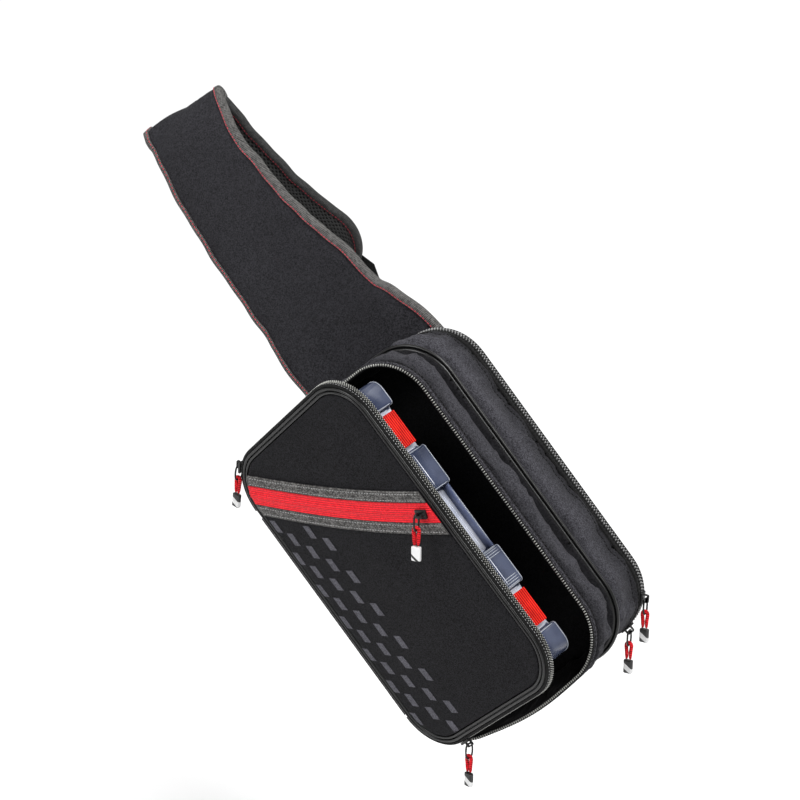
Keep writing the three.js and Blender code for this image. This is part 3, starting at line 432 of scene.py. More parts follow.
# The latches' grooves are painted shade: a darker copy of the latch plastic.
latch_groove_painted_shade = moulded("latch_groove_painted_shade", (0.24, 0.003, 0.001), roughness=0.6, gloss=0.08)
black_plastic = moulded("black_plastic", grey(0.008), roughness=0.42)
black_metal = moulded("black_metal", grey(0.012), roughness=0.3, metallic=0.6)
red_cord = ribbed("red_cord", (0.2, 0.003, 0.006), (0.75, 0.014, 0.022), across=2.0, relief=0.4)
# On the dark tips the pale slanted band is partly a white stripe, partly a painted highlight.
dark_tip = striped_tip("dark_tip", 0.012, 0.6, 0.42, 0.86)
pale_tip = striped_tip("pale_tip", 0.68, 0.012, 0.3, 0.52)


# Mesh building

class Build:
    """Points, faces and surface coordinates of one piece, in millimetres."""

    def __init__(self):
        self.points = []
        self.faces = []
        self.coords = []
        self.parts = []
        self.count = 0

    def add_points(self, points):
        start = self.count
        self.points.append(np.asarray(points, float).reshape(-1, 3))
        self.count += len(self.points[-1])
        return start

    def grid(self, rows, loop_rows=False, loop_columns=False, part=0, capped=False, flat=False):
        """A sheet of quads over rows of points; part may be a number for each column.

        capped closes the first and last ring, and flat takes x and z as surface coordinates."""
        rows = np.asarray(rows, float)
        row_count, column_count = rows.shape[:2]
        start = self.add_points(rows)
        along = lengths(rows[:, column_count // 2], loop_rows)
        across = lengths(rows[row_count // 2], loop_columns)
        surface = rows[..., [2, 0]] if flat else packed(along[:, None], across[None])
        i, j = np.indices((len(along) - 1, len(across) - 1))
        corners = ((i, j), (i, j + 1), (i + 1, j + 1), (i + 1, j))
        faces = packed(*(start + a % row_count * column_count + b % column_count for a, b in corners))
        self.faces += faces.reshape(-1, 4).tolist()
        self.coords.append(np.stack([surface[a, b] for a, b in corners], axis=2).reshape(-1, 2))
        self.parts += np.broadcast_to(part, i.shape).ravel().tolist()
        if capped:
            around = np.arange(column_count)
            end_part = part if isinstance(part, int) else 0
            self.cap(start + around[::-1], end_part)
            self.cap(self.count - column_count + around, end_part)

    def cap(self, indices, part=0):
        self.faces.append(indices.tolist())
        self.coords.append(np.zeros((len(indices), 2)))
        self.parts.append(part)

    def scatter(self, template, origins, a, b, c, part=0):
        """Copies of a template at each origin, with its axes laid along a, b and c."""
        points, faces = template
        origins, a, b, c = (np.asarray(v, float).reshape(-1, 1, 3) for v in (origins, a, b, c))
        start = self.add_points(origins + points[:, 0:1] * a + points[:, 1:2] * b + points[:, 2:3] * c)
        stretch = 3 * np.array([points[v][:2] for face in faces for v in face])
        for i in range(len(origins)):
            base = start + i * len(points)
            self.faces += [[base + v for v in face] for face in faces]
            self.coords.append(stretch)
        self.parts += [part] * len(origins) * len(faces)

    def finish(self, name, place, materials, body="bag", smooth=True, nodes=()):
        """The piece as an object in the row frame, its equal points welded."""
        points = np.concatenate(self.points)
        world = points @ np.array(place)[:3, :3].T + np.array(place)[:3, 3]
        mesh = bpy.data.meshes.new(name)
        mesh.from_pydata(world.tolist(), [], self.faces)
        layer = mesh.uv_layers.new(name="surface")
        layer.data.foreach_set("uv", np.concatenate(self.coords).ravel())
        for material in materials:
            mesh.materials.append(material)
        mesh.polygons.foreach_set("material_index", self.parts)
        mesh.polygons.foreach_set("use_smooth", [smooth] * len(self.faces))
        shape = bmesh.new()
        shape.from_mesh(mesh)
        bmesh.ops.remove_doubles(shape, verts=shape.verts, dist=0.002 * MM)
        bmesh.ops.recalc_face_normals(shape, faces=shape.faces)
        shape.to_mesh(mesh)
        shape.free()
        return dress(add_object(name, mesh), body, nodes)


def dress(obj, body, nodes):
    """The object rides on a body and stands for CAD nodes, which are hidden."""
    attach(obj, body)
    if nodes:
        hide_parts(*nodes)
    return obj


def packed(*values):
    """Values side by side along a new last axis, with single values repeated."""
    return np.stack(np.broadcast_arrays(*values), axis=-1)


def unit(vectors):
    return vectors / np.linalg.norm(vectors, axis=-1, keepdims=True)


def between(at, steps, points):
    """Points at places along a line whose own points lie at these steps."""
    return np.stack([np.interp(at, steps, column) for column in points.T], axis=1)


def lengths(points, loops=False):
    """Distances along a row of points, with the closing step if it loops."""
    if loops:
        points = np.concatenate([points, points[:1]])
    steps = np.linalg.norm(np.diff(points, axis=0), axis=1)
    return np.concatenate([[0], np.cumsum(steps)])


def ripple(points, size, seed):
    """Smooth noise about zero at points, with features of a size in millimetres."""
    shift = Vector((seed * 17.3, seed * 5.1, seed * 9.7))
    flat = np.asarray(points, float).reshape(-1, 3) / size
    values = [noise.noise(Vector(p) + shift) for p in flat]
    return np.array(values).reshape(np.asarray(points).shape[:-1])


def capsule(sides=5, flatten=0.75):
    """A stitch of unit length and unit radius, lying along its first axis."""
    rings = [(-0.36, 0.75), (0, 1.0), (0.36, 0.75)]
    points = [
        (a, r * math.cos(2 * math.pi * k / sides), flatten * r * math.sin(2 * math.pi * k / sides))
        for a, r in rings for k in range(sides)
    ]
    points += [(-0.5, 0, 0), (0.5, 0, 0)]
    faces = []
    for i in range(len(rings) - 1):
        for k in range(sides):
            m = (k + 1) % sides
            faces.append((i * sides + k, i * sides + m, (i + 1) * sides + m, (i + 1) * sides + k))
    first, last = len(points) - 2, len(points) - 1
    for k in range(sides):
        m = (k + 1) % sides
        faces.append((first, m, k))
        faces.append((last, 2 * sides + k, 2 * sides + m))
    return np.array(points), faces


def rounded_bar():
    """A bar with bevelled long edges, one unit along each axis."""
    edge = 0.3
    section = [
        (-0.5, -0.5), (0.5, -0.5), (0.5, 0.5 - edge), (0.5 - edge, 0.5),
        (-0.5 + edge, 0.5), (-0.5, 0.5 - edge),
    ]
    points = []
    for along, scale in ((-0.5, 0.7), (-0.38, 1.0), (0.38, 1.0), (0.5, 0.7)):
        points += [(a * scale, along, c * scale) for a, c in section]
    count = len(section)
    faces = [
        (i * count + k, i * count + (k + 1) % count,
         (i + 1) * count + (k + 1) % count, (i + 1) * count + k)
        for i in range(3) for k in range(count)
    ]
    faces += [tuple(range(count))[::-1], tuple(3 * count + k for k in range(count))]
    return np.array(points), faces


def settle(rows, held, away, pressure=3.0, growth=0.01, cap=3.0, loops=False, bending=0.2):
    """Cloth over a grid of points, fixed where held and swollen from behind.

    away is 1 where the swollen side is along rows x columns and -1 where it is the other way.
    No point moves further than the cap."""
    rows = np.asarray(rows, float)
    count, columns = rows.shape[:2]
    faces = []
    for i in range(count if loops else count - 1):
        k = (i + 1) % count
        for j in range(columns - 1):
            face = (
                i * columns + j, k * columns + j, k * columns + j + 1, i * columns + j + 1,
            )
            faces.append(face if away > 0 else face[::-1])
    mesh = bpy.data.meshes.new("settling")
    mesh.from_pydata((rows.reshape(-1, 3) * MM).tolist(), [], faces)
    piece = add_object("settling", mesh)
    pins = piece.vertex_groups.new(name="held")
    pins.add([int(i) for i in np.flatnonzero(np.asarray(held).ravel())], 1.0, "REPLACE")
    modifier = piece.modifiers.new("cloth", "CLOTH")
    cloth = modifier.settings
    cloth.vertex_group_mass = "held"
    cloth.use_pressure = True
    cloth.uniform_pressure_force = pressure
    cloth.shrink_min = -growth
    cloth.bending_stiffness = bending
    cloth.effector_weights.gravity = 0
    modifier.point_cache.frame_end = CLOTH_FRAMES
    for moment in range(1, CLOTH_FRAMES + 1):
        bpy.context.scene.frame_set(moment)
    settled = piece.evaluated_get(bpy.context.evaluated_depsgraph_get())
    found = np.empty(len(mesh.vertices) * 3)
    settled.data.vertices.foreach_get("co", found)
    bpy.data.objects.remove(piece)
    bpy.context.scene.frame_set(1)
    moved = found.reshape(rows.shape) / MM - rows
    reach = np.linalg.norm(moved, axis=-1, keepdims=True)
    return rows + moved * np.minimum(1, cap / np.maximum(reach, 1e-9))


STITCH = capsule()
TOOTH = rounded_bar()


class Rim:
    """A rounded rectangle in the x-z plane, followed clockwise from the middle of its left side."""

    def __init__(self, width, length, corner):
        self.width, self.length, self.corner = width, length, corner
        flat = width / 2 - corner
        straight = length / 2 - corner
        arc = corner * math.pi / 2
        self.runs = [
            (straight, (-width / 2, 0), (0, 1)), (arc, (-flat, straight), 180),
            (2 * flat, (-flat, length / 2), (1, 0)), (arc, (flat, straight), 90),
            (2 * straight, (width / 2, straight), (0, -1)), (arc, (flat, -straight), 0),
            (2 * flat, (flat, -length / 2), (-1, 0)), (arc, (-flat, -straight), 270),
            (straight, (-width / 2, -straight), (0, 1)),
        ]
        self.total = sum(run[0] for run in self.runs)
        self.straight = straight

    def at(self, s):
        """x, z and the outward direction at each length along the rim."""
        s = np.mod(np.asarray(s, float), self.total)
        found = np.zeros((len(s), 4))
        start = 0
        for run, origin, heading in self.runs:
            inside = (s >= start - 1e-9) & (s <= start + run + 1e-9)
            step = s[inside] - start
            if isinstance(heading, tuple):
                dx, dz = heading
                found[inside] = packed(origin[0] + dx * step, origin[1] + dz * step, -dz, dx)
            else:
                angle = np.radians(heading - 90 * step / run)
                nx, nz = np.cos(angle), np.sin(angle)
                place = (origin[0] + self.corner * nx, origin[1] + self.corner * nz)
                found[inside] = packed(*place, nx, nz)
            start += run
        return found

    def rows(self, s, offsets, depths):
        """Rings of points: offsets outward and depths in y, for each station."""
        x, z, nx, nz = self.at(s).T
        offsets = np.broadcast_to(offsets, (len(s), np.shape(offsets)[-1]))
        depths = np.broadcast_to(depths, offsets.shape)
        return packed(x[:, None] + nx[:, None] * offsets, depths, z[:, None] + nz[:, None] * offsets)

    def places(self, s, offsets, depths):
        """Origins and axes for small things set on the rim: along it, in y, and outward."""
        x, z, nx, nz = self.at(s).T
        origins = packed(x + nx * offsets, depths, z + nz * offsets)
        return origins, packed(nz, 0, -nx), np.array((0, 1.0, 0)), packed(nx, 0, nz)


def evenly(start, end, pitch):
    count = max(2, int(round((end - start) / pitch)))
    return start + (np.arange(count) + 0.5) * (end - start) / count


def sew(build, origins, along, out, length, radius, part):
    """Stitches at origins, lying along, pressed into the cloth."""
    side = np.cross(out, along)
    build.scatter(STITCH, origins, along * length, side * radius, out * radius, part)


body_rim = Rim(BAG_WIDTH, BAG_LENGTH, BAG_CORNER)
lid_rim = Rim(BAG_WIDTH, LID_LENGTH, LID_CORNER)
open_from = body_rim.straight
open_to = body_rim.total - body_rim.straight


# Body

def sag_at(s):
    """How far the open front rim sags outward along the lower end."""
    x, _, _, nz = body_rim.at(s).T
    return SAG * np.clip(-nz, 0, None) * np.cos(np.pi * x / BAG_WIDTH) ** 2


def gusset(name, cloth, depths, swell, low_swell, sag, seed, held_band, seam_side, stitch_at):
    """A soft wall between two seams, settled as cloth, with its lining inside.

    The cloth dips in beside the piping, which is at the front or back seam as seam_side says.
    sag is its share of the front rim's sag."""
    front, back = depths
    count = 320
    columns = 29
    step = body_rim.total / count
    s = np.arange(count) * step
    v = np.linspace(0, 1, columns)
    depth_at = front + (back - front) * v
    _, _, nx, nz = body_rim.at(s).T
    low = np.clip(-nz, 0, None)
    puff = (swell + (low_swell - swell) * low)[:, None] * 0.8
    held = (v <= held_band[0] + 1e-6) | (v >= held_band[1] - 1e-6)
    spread = np.clip((v - held_band[0]) / (held_band[1] - held_band[0]), 0, 1)
    profile = np.sin(np.pi * spread ** 0.78) ** 0.85
    start = body_rim.rows(s, profile * puff, depth_at)
    lean = ripple(start, 52, seed) * 3.0 + ripple(start, 18, seed + 3) * 0.4
    corner = np.clip(np.abs(nx * nz) * 3.2 - 0.8, 0, 1)[:, None]
    creases = np.cos(2 * np.pi * s / 19 + 3 * np.sin(s / 37))[:, None] * corner
    lean += creases * np.linspace(0.3, 0.8, columns)
    valley = (spread - 0.55 - 0.12 * np.sin(s / 21)[:, None]) / 0.1
    lean -= np.exp(-valley ** 2) * corner * 3.2
    slack = sag * (1 - v) * sag_at(s)[:, None]
    rows = body_rim.rows(s, profile * (puff + lean) + slack + 0.1, depth_at)
    held = np.broadcast_to(held, rows.shape[:2])
    rows = settle(rows, held, away=1, pressure=0.8, growth=0.04, cap=2.6, loops=True)
    from_seam = (back - front) * (v if seam_side == "front" else 1 - v)
    tucked = 6.5 * np.exp(-((from_seam - 4.5) / 4) ** 2) * (1 - np.exp(-from_seam / 1.2))
    for depth in stitch_at:
        tucked += 0.7 * np.exp(-((depth_at - depth) / 1.6) ** 2)
    out = packed(nx, 0, nz)[:, None]
    rows = rows - out * tucked[:, None]
    inner = rows[:, -2:0:-1] - out * 1.3
    build = Build()
    parts = [0] * (columns - 1) + [1] * (columns - 1)
    build.grid(np.concatenate([rows, inner], axis=1), loop_rows=True, loop_columns=True, part=parts)
    at = evenly(0, body_rim.total, 3.6)
    away = body_rim.places(at, 0, 0)[3]
    for depth in stitch_at:
        share = (depth - front) / (back - front) * (columns - 1)
        seam = on_grid(rows, at / step, share)
        along = unit(on_grid(rows, (at + 1) / step, share) - seam)
        sew(build, seam + away * 0.2, along, away, 2.6, 0.5, part=2)
    return build.finish(
        name + "_looks", BAG, [cloth, lining_cloth, dark_thread], nodes=[name],
    )


def on_grid(rows, i, column):
    """Points on a looping grid at fractional rows and one fractional column."""
    count = len(rows)
    low = int(column)
    high = min(low + 1, rows.shape[1] - 1)
    across = rows[:, low] + (rows[:, high] - rows[:, low]) * (column - low)
    base = np.floor(i).astype(int)
    share = (i - base)[:, None]
    return across[base % count] * (1 - share) + across[(base + 1) % count] * share


def sweep(build, rim, s, section, at=(0, 0), loop=True, part=0):
    """A section of outward offsets and depths, moved to a place and carried along the rim."""
    section = np.array(section)
    rows = rim.rows(s, at[0] + section[:, 0], at[1] + section[:, 1])
    build.grid(rows, loop_rows=loop, loop_columns=True, part=part, capped=not loop)


def tube(build, rim, s, at, radius, sides=12):
    turns = np.arange(sides) * 2 * np.pi / sides
    sweep(build, rim, s, radius * packed(np.cos(turns), np.sin(turns)), at)


def teeth(build, rim, span, offset, depth, pitch, size, shift=0.0, slant=0.0, part=1):
    """A row of teeth; their size is along the rim, in depth and outward."""
    at = evenly(*span, pitch) + shift * pitch
    origins, along, back, out = rim.places(at, offset(at) if callable(offset) else offset, depth)
    leaning = back + along * slant
    build.scatter(TOOTH, origins, along * size[0], leaning * size[1], out * size[2], part)


def rim_stitches(build, rim, span, offset, depth, pitch, length, radius, part):
    at = evenly(*span, pitch)
    origins, along, _, out = rim.places(at, offset(at) if callable(offset) else offset, depth)
    sew(build, origins, along, out, length, radius, part)


RIM_STEP = 3
ZIP_STEP = 2.6
REAR_CHAIN = -4.4


def rear_zip():
    """Tape round the rear edge, a cord beside the side wall and two rows of teeth."""
    build = Build()
    front = -REAR_ZIP
    whole = (0, body_rim.total)
    sweep(build, body_rim, np.arange(*whole, RIM_STEP), [
        (-0.5, front), (0.35, front + 0.3), (1.15, front + 1.5), (1.0, front + 2.5),
        (0.0, front + 3.3), (-0.1, -8.4), (-0.1, -7.4), (-0.3, REAR_CHAIN), (-0.1, -1.4),
        (0.35, -0.8), (0.2, 0), (-0.6, 0), (-WALL, 0), (-WALL, front),
    ])
    for side in (-1, 1):
        teeth(build, body_rim, whole, 0.35, REAR_CHAIN + side * 1.35, pitch=2.8,
              size=(1.0, 2.0, 1.5), shift=side / 4, slant=side * 0.25)
    for depth in (front + 4.4, -7.9):
        rim_stitches(build, body_rim, whole, 0.05, depth, pitch=3.4, length=2.2, radius=0.34, part=2)
    return build.finish(
        "rear_zip_looks", BAG, [zip_tape, zip_teeth, dark_thread], nodes=["rear_zip"],
    )


def side_piping():
    """A corded edge with a web that closes the seam behind it."""
    build = Build()
    s = np.arange(0, body_rim.total, RIM_STEP)
    tube(build, body_rim, s, (PIPING * 0.4 + 1.6, -REAR_DEPTH), PIPING - 0.9, sides=14)
    half = [(1.2, -0.9), (0.1, -PIPING), (-WALL, -PIPING)]
    web = half + [(offset, -depth) for offset, depth in half[::-1]]
    sweep(build, body_rim, s, web, at=(0, -REAR_DEPTH))
    return build.finish(
        "side_piping_looks", BAG, [piping_cloth], nodes=["side_piping"],
    )


def front_zip_body():
    """The body's half of the front zip, which sags along the lower end."""
    build = Build()
    s = np.arange(open_from, open_to + 0.1, ZIP_STEP)
    section = [
        (-WALL, FRONT_ZIP), (0.05, FRONT_ZIP), (0.6, FRONT_ZIP - 1), (0.2, FRONT_ZIP - 2),
        (0.1, 3.0), (-0.9, 2.3), (-0.9, 0.3), (-WALL, 0.4),
    ]
    sweep(build, body_rim, s, section, at=(sag_at(s)[:, None], FRONT_RIM), loop=False,
          part=[1, 1, 1, 1, 0, 0, 0, 0])

    def chain(at):
        """The chain tucks in where the rim faces down."""
        _, _, _, nz = body_rim.at(at).T
        return sag_at(at) - 0.3 - 1.7 * np.clip(-nz, 0, 1)

    span = (open_from + 2, open_to - 2)
    teeth(build, body_rim, span, chain, FRONT_RIM + 0.35, pitch=2.3, size=(0.8, 1.3, 1.8), part=2)
    rim_stitches(build, body_rim, span, lambda at: 0.25 + sag_at(at), FRONT_RIM + 4.4,
                 pitch=3.4, length=2.2, radius=0.36, part=3)
    return build.finish(
        "front_zip_body_looks", BAG, [zip_tape, heather_tape, bright_teeth, dark_thread],
        nodes=["front_zip_body"],
    )


def panel_places(rim, inset, rows=29, turns=7, columns=41):
    """x and z of a grid over a rounded rectangle whose first and last columns follow its edge."""
    flat = rim.width / 2 - rim.corner
    radius = rim.corner - inset
    angles = np.linspace(0, np.pi / 2, turns + 1)[1:]
    middle = np.linspace(-rim.straight, rim.straight, rows)
    z = np.concatenate([
        -rim.straight - radius * np.sin(angles[::-1]), middle, rim.straight + radius * np.sin(angles),
    ])
    half = np.concatenate([
        flat + radius * np.cos(angles[::-1]), np.full(rows, flat + radius),
        flat + radius * np.cos(angles),
    ])
    u = np.linspace(-1, 1, columns)
    return half[:, None] * u, np.broadcast_to(z[:, None], (len(z), columns))


def edge_of(grid):
    """The border of a grid, once round."""
    return np.concatenate([grid[:, 0], grid[-1, 1:], grid[-2::-1, -1], grid[0, -2:0:-1]])


def panel_face(rim, inset, depth):
    """The grid of a panel; depth is a number or a function of x and z."""
    x, z = panel_places(rim, inset)
    return packed(x, depth(x, z) if callable(depth) else depth, z)


def plate(build, rim, face, levels, back_inset, back_depth, parts=(0, 1)):
    """A closed panel: its face, rings at levels of inset, depth and part, and its back."""
    back = panel_face(rim, back_inset, back_depth)
    sheets = [face] + [panel_face(rim, inset, depth) for inset, depth, _ in levels] + [back]
    build.grid(face, part=parts[0], flat=True)
    build.grid(
        np.stack([edge_of(sheet) for sheet in sheets], axis=1), loop_rows=True,
        part=[part for _, _, part in levels] + [parts[1]],
    )
    build.grid(back, part=parts[1])


def divider():
    """The wall between the compartments, a little slack in its middle."""
    inset = PIPING * 0.6 + SEAM

    def front(x, z):
        loose = np.clip(1 - (x / 100) ** 2, 0, 1) * np.clip(1 - (z / 150) ** 2, 0, 1)
        return -REAR_DEPTH - 1 + ripple(packed(x, 0, z), 42, 11) * 3 * loose

    build = Build()
    face = panel_face(body_rim, inset, front)
    plate(build, body_rim, face, [], inset, lambda x, z: front(x, z) + 2, parts=(0, 0))
    return build.finish("divider_looks", BAG, [lining_cloth], nodes=["divider"])


def back_panel():
    """Padded mesh panel against the wearer's back, swollen between its sewn channels."""
    face = SEAM + BACK_PADDING
    channel = 34
    channel_end = 118

    def rear(x, z):
        grooves = sum(np.exp(-((x - side * channel) / 4) ** 2) for side in (-1, 1))
        return face - 0.9 - 2.6 * grooves * np.clip(1 - (z / channel_end) ** 8, 0, 1)

    rows = panel_face(body_rim, 8.0, rear)
    held = np.zeros(rows.shape[:2], bool)
    held[[0, -1]] = True
    held[:, [0, -1]] = True
    sewn = np.abs(np.abs(rows[..., 0]) - channel) < 3
    held |= sewn & (np.abs(rows[..., 2]) < channel_end)
    rows = settle(rows, held, away=1, pressure=3, growth=0.02, cap=3.2, bending=0.5)
    build = Build()
    levels = [
        (5.6, SEAM + 7.7, 0), (3.6, SEAM + 6, 0), (2.3, SEAM + 3.4, 0), (1.9, SEAM + 1.6, 1),
    ]
    plate(build, body_rim, rows, levels, 2.0, SEAM)
    z = evenly(6 - channel_end, channel_end - 6, 3.6)
    for x in (-channel, channel):
        origins = packed(x, rear(x, z) + 0.25, z)
        sew(build, origins, np.array((0, 0, 1.0)), np.array((0, 1.0, 0)), 2.4, 0.45, part=2)
    panel = build.finish("back_panel_looks", BAG, [back_mesh, zip_tape, dark_thread],
                         nodes=["back_panel"])
    return panel


# Lid

PIPING_INSET = LID_BAND + SEAM + LID_PIPING
PANEL_INSET = PIPING_INSET + LID_PIPING + SEAM
PIPING_SEAT = -LID_DEPTH + LID_PIPING
FLANGE_FRONT = PIPING_SEAT + LID_PIPING + SEAM
FLANGE_BACK = FLANGE_FRONT + LID_FLANGE


def lid_crown(x, z):
    half_x = BAG_WIDTH / 2 - PANEL_INSET
    half_z = LID_LENGTH / 2 - PANEL_INSET
    across = np.clip(1 - (x / half_x) ** 2, 0, None)
    along = np.clip(1 - (z / half_z) ** 2, 0, None)
    return -LID_DEPTH - LID_CROWN * across * along


def lid_front(x, z):
    """The panel's face: the crown with soft hollows in it."""
    points = packed(x, 0, z)
    hollows = 0.5 + ripple(points, 46, 21) * 0.9 + ripple(points, 17, 23) * 0.35
    return lid_crown(x, z) + np.clip(hollows, 0.05, 1.6)


def lid_shell():
    inner = PANEL_INSET + LID_WALL
    face = panel_face(lid_rim, PANEL_INSET + 1.2, lid_front)
    levels = [
        (PANEL_INSET + 0.3, -LID_DEPTH + 0.9, 0), (PANEL_INSET, -LID_DEPTH + 2.4, 0),
        (PANEL_INSET, FLANGE_FRONT, 0), (LID_BAND + SEAM, FLANGE_FRONT, 1),
        (LID_BAND + SEAM, FLANGE_BACK, 1), (inner, FLANGE_BACK, 1),
    ]
    build = Build()
    plate(build, lid_rim, face, levels, inner, lambda x, z: lid_crown(x, z) + LID_WALL)
    panel = build.finish("lid_shell_looks", LID, [shell_cloth, lining_cloth],
                         nodes=["lid_shell"])
    return panel


def lid_piping():
    """Two cords side by side on a web."""
    build = Build()
    s = np.arange(0, lid_rim.total, RIM_STEP)
    tube(build, lid_rim, s, (-PIPING_INSET + 1.6, PIPING_SEAT - 1.3), 1.35)
    tube(build, lid_rim, s, (-PIPING_INSET - 1.6, PIPING_SEAT - 1.4), 1.25)
    web = [(2.8, -0.2), (2.8, 2.6), (-2.8, 2.6), (-2.8, -0.2)]
    sweep(build, lid_rim, s, web, at=(-PIPING_INSET, PIPING_SEAT))
    return build.finish("lid_piping_looks", LID, [piping_cloth], nodes=["lid_piping"])


def front_zip_lid():
    """The lid's half of the front zip: three staggered rows of small teeth on its tape."""
    build = Build()
    low = lid_rim.straight
    high = lid_rim.total - lid_rim.straight
    front = PIPING_SEAT - LID_PIPING / 2
    sweep(build, lid_rim, np.arange(low, high + 0.1, ZIP_STEP), [
        (-LID_BAND, front), (-0.6, front), (-0.05, front + 0.6), (0.1, front + 1.6),
        (-0.1, front + 2.6), (0.0, FLANGE_BACK - 1.4), (-0.3, FLANGE_BACK), (-LID_BAND, FLANGE_BACK),
    ], loop=False)
    span = (low + 2, high - 2)
    for k in range(3):
        teeth(build, lid_rim, span, 0.1, FLANGE_BACK - 0.5 - 1.4 * k, pitch=2.2,
              size=(0.75, 0.7, 1.1), shift=k / 2)
    rim_stitches(build, lid_rim, span, 0.0, front + 0.9, pitch=3.0, length=1.6, radius=0.26, part=2)
    return build.finish(
        "front_zip_lid_looks", LID, [zip_tape, bright_teeth, grey_thread],
        nodes=["front_zip_lid"],
    )


def lid_hinge():
    """Cloth strip down the left side, from the body's wall to the lid's edge."""
    half = min(BAG_LENGTH / 2 - BAG_CORNER, LID_LENGTH / 2 - LID_CORNER) - LID_RISE - 1
    body_edge = -BAG_WIDTH / 2 + WALL / 2
    lid_edge = body_edge + SEAM
    rows = []
    for z in np.linspace(-half, half, 60):
        near, far = (
            LID_IN_BAG @ Vector((lid_edge, y, z - LID_RISE))
            for y in (FLANGE_BACK, PIPING_SEAT - LID_PIPING / 2)
        )
        root = FRONT_RIM + WALL
        swell = (body_edge + near.x) / 2 - 2.4 + 0.8 * math.sin(z / 11) * math.cos(z / 29)
        path = spline([
            (body_edge, FRONT_RIM + FRONT_ZIP), (body_edge, root), (swell, (root + near.y) / 2),
            near[:2], far[:2],
        ], 17)
        along = unit(np.gradient(path, axis=0))
        side = packed(-along[:, 1], along[:, 0]) * 0.9
        ring = np.concatenate([path + side, (path - side)[::-1]])
        rows.append(packed(ring[:, 0], ring[:, 1], z))
    build = Build()
    build.grid(rows, loop_columns=True, capped=True)
    return build.finish("lid_hinge_looks", BAG, [shell_cloth], nodes=["lid_hinge"])


def spline(points, count, placed=2):
    """A smooth centripetal line through the given points, evenly spaced along its length.

    The first columns, as many as are placed, are its place, and the others follow along."""
    points = np.asarray(points, float)
    padded = np.concatenate([
        [2 * points[0] - points[1]], points, [2 * points[-1] - points[-2]],
    ])
    chords = np.linalg.norm(np.diff(padded[:, :placed], axis=0), axis=1) ** 0.5
    knots = np.concatenate([[0], np.cumsum(chords)])
    found = []
    for i in range(len(points) - 1):
        k = knots[i:i + 4]
        p = padded[i:i + 4]
        for u in np.linspace(k[1], k[2], 40, endpoint=i == len(points) - 2):
            first = [((k[j + 1] - u) * p[j] + (u - k[j]) * p[j + 1]) / (k[j + 1] - k[j])
                     for j in range(3)]
            second = [((k[j + 2] - u) * first[j] + (u - k[j]) * first[j + 1]) / (k[j + 2] - k[j])
                      for j in range(2)]
            found.append(((k[2] - u) * second[0] + (u - k[1]) * second[1]) / (k[2] - k[1]))
    found = np.array(found)
    steps = lengths(found[:, :placed])
    return between(np.linspace(0, steps[-1], count), steps, found)


# Pocket zip across the lid

def pocket_line(t):
    start = np.array((-BAG_WIDTH / 2, POCKET_LEFT))
    middle = np.array((0, (POCKET_LEFT + POCKET_RIGHT - 8) / 2 - POCKET_SAG + 4))
    end = np.array((BAG_WIDTH / 2, POCKET_RIGHT))
    return (1 - t) ** 2 * start + 2 * t * (1 - t) * middle + t ** 2 * end


def pocket_point(t, offset):
    """A place on the panel beside the pocket's curved line."""
    step = unit(pocket_line(t + 1e-4) - pocket_line(t - 1e-4))
    return pocket_line(t) + np.array((-step[1], step[0])) * offset


def inside_panel(point, inset):
    radius = LID_CORNER - inset
    dx = max(0, abs(point[0]) - (BAG_WIDTH / 2 - inset - radius))
    dz = max(0, abs(point[1]) - (LID_LENGTH / 2 - inset - radius))
    return math.hypot(dx, dz) < radius


def panel_span(offset, inset):
    """The shares of the line at which it enters and leaves the panel."""
    ends = []
    for outside in (0.0, 1.0):
        inside = 0.5
        for _ in range(24):
            middle = (inside + outside) / 2
            if inside_panel(pocket_point(middle, offset), inset):
                inside = middle
            else:
                outside = middle
        ends.append(inside)
    return ends


def pocket_strip(build, low, high, lift, columns, steps=90):
    """A strip that follows the panel between two offsets; lift(v) is its height across."""
    v = np.linspace(0, 1, columns)
    offsets = low + (high - low) * v
    spans = [panel_span(offset, PANEL_INSET + SEAM) for offset in offsets]
    upper = list(zip(offsets, spans, lift(v)))
    under = [(offset, span, 0) for offset, span, _ in upper[::-1][::3]]
    rows = []
    for share in np.linspace(0, 1, steps):
        ring = []
        for offset, span, height in upper + under:
            x, z = pocket_point(span[0] + (span[1] - span[0]) * share, offset)
            ring.append((x, lid_crown(x, z) - SEAM - height, z))
        rows.append(ring)
    build.grid(rows, loop_columns=True, capped=True)


def pocket_stitches(build, offset, height):
    start, end = panel_span(offset, PANEL_INSET + 3)
    length = np.linalg.norm(pocket_point(end, offset) - pocket_point(start, offset))
    at = evenly(start, end, 3.1 * (end - start) / length)
    x, z = np.array([pocket_point(t, offset) for t in at]).T
    ahead_x, ahead_z = np.array([pocket_point(t + 1e-3, offset) for t in at]).T
    along = unit(packed(ahead_x - x, 0, ahead_z - z))
    origins = packed(x, lid_crown(x, z) - SEAM - height, z)
    sew(build, origins, along, np.array((0, -1.0, 0)), 2.1, 0.32, part=1)


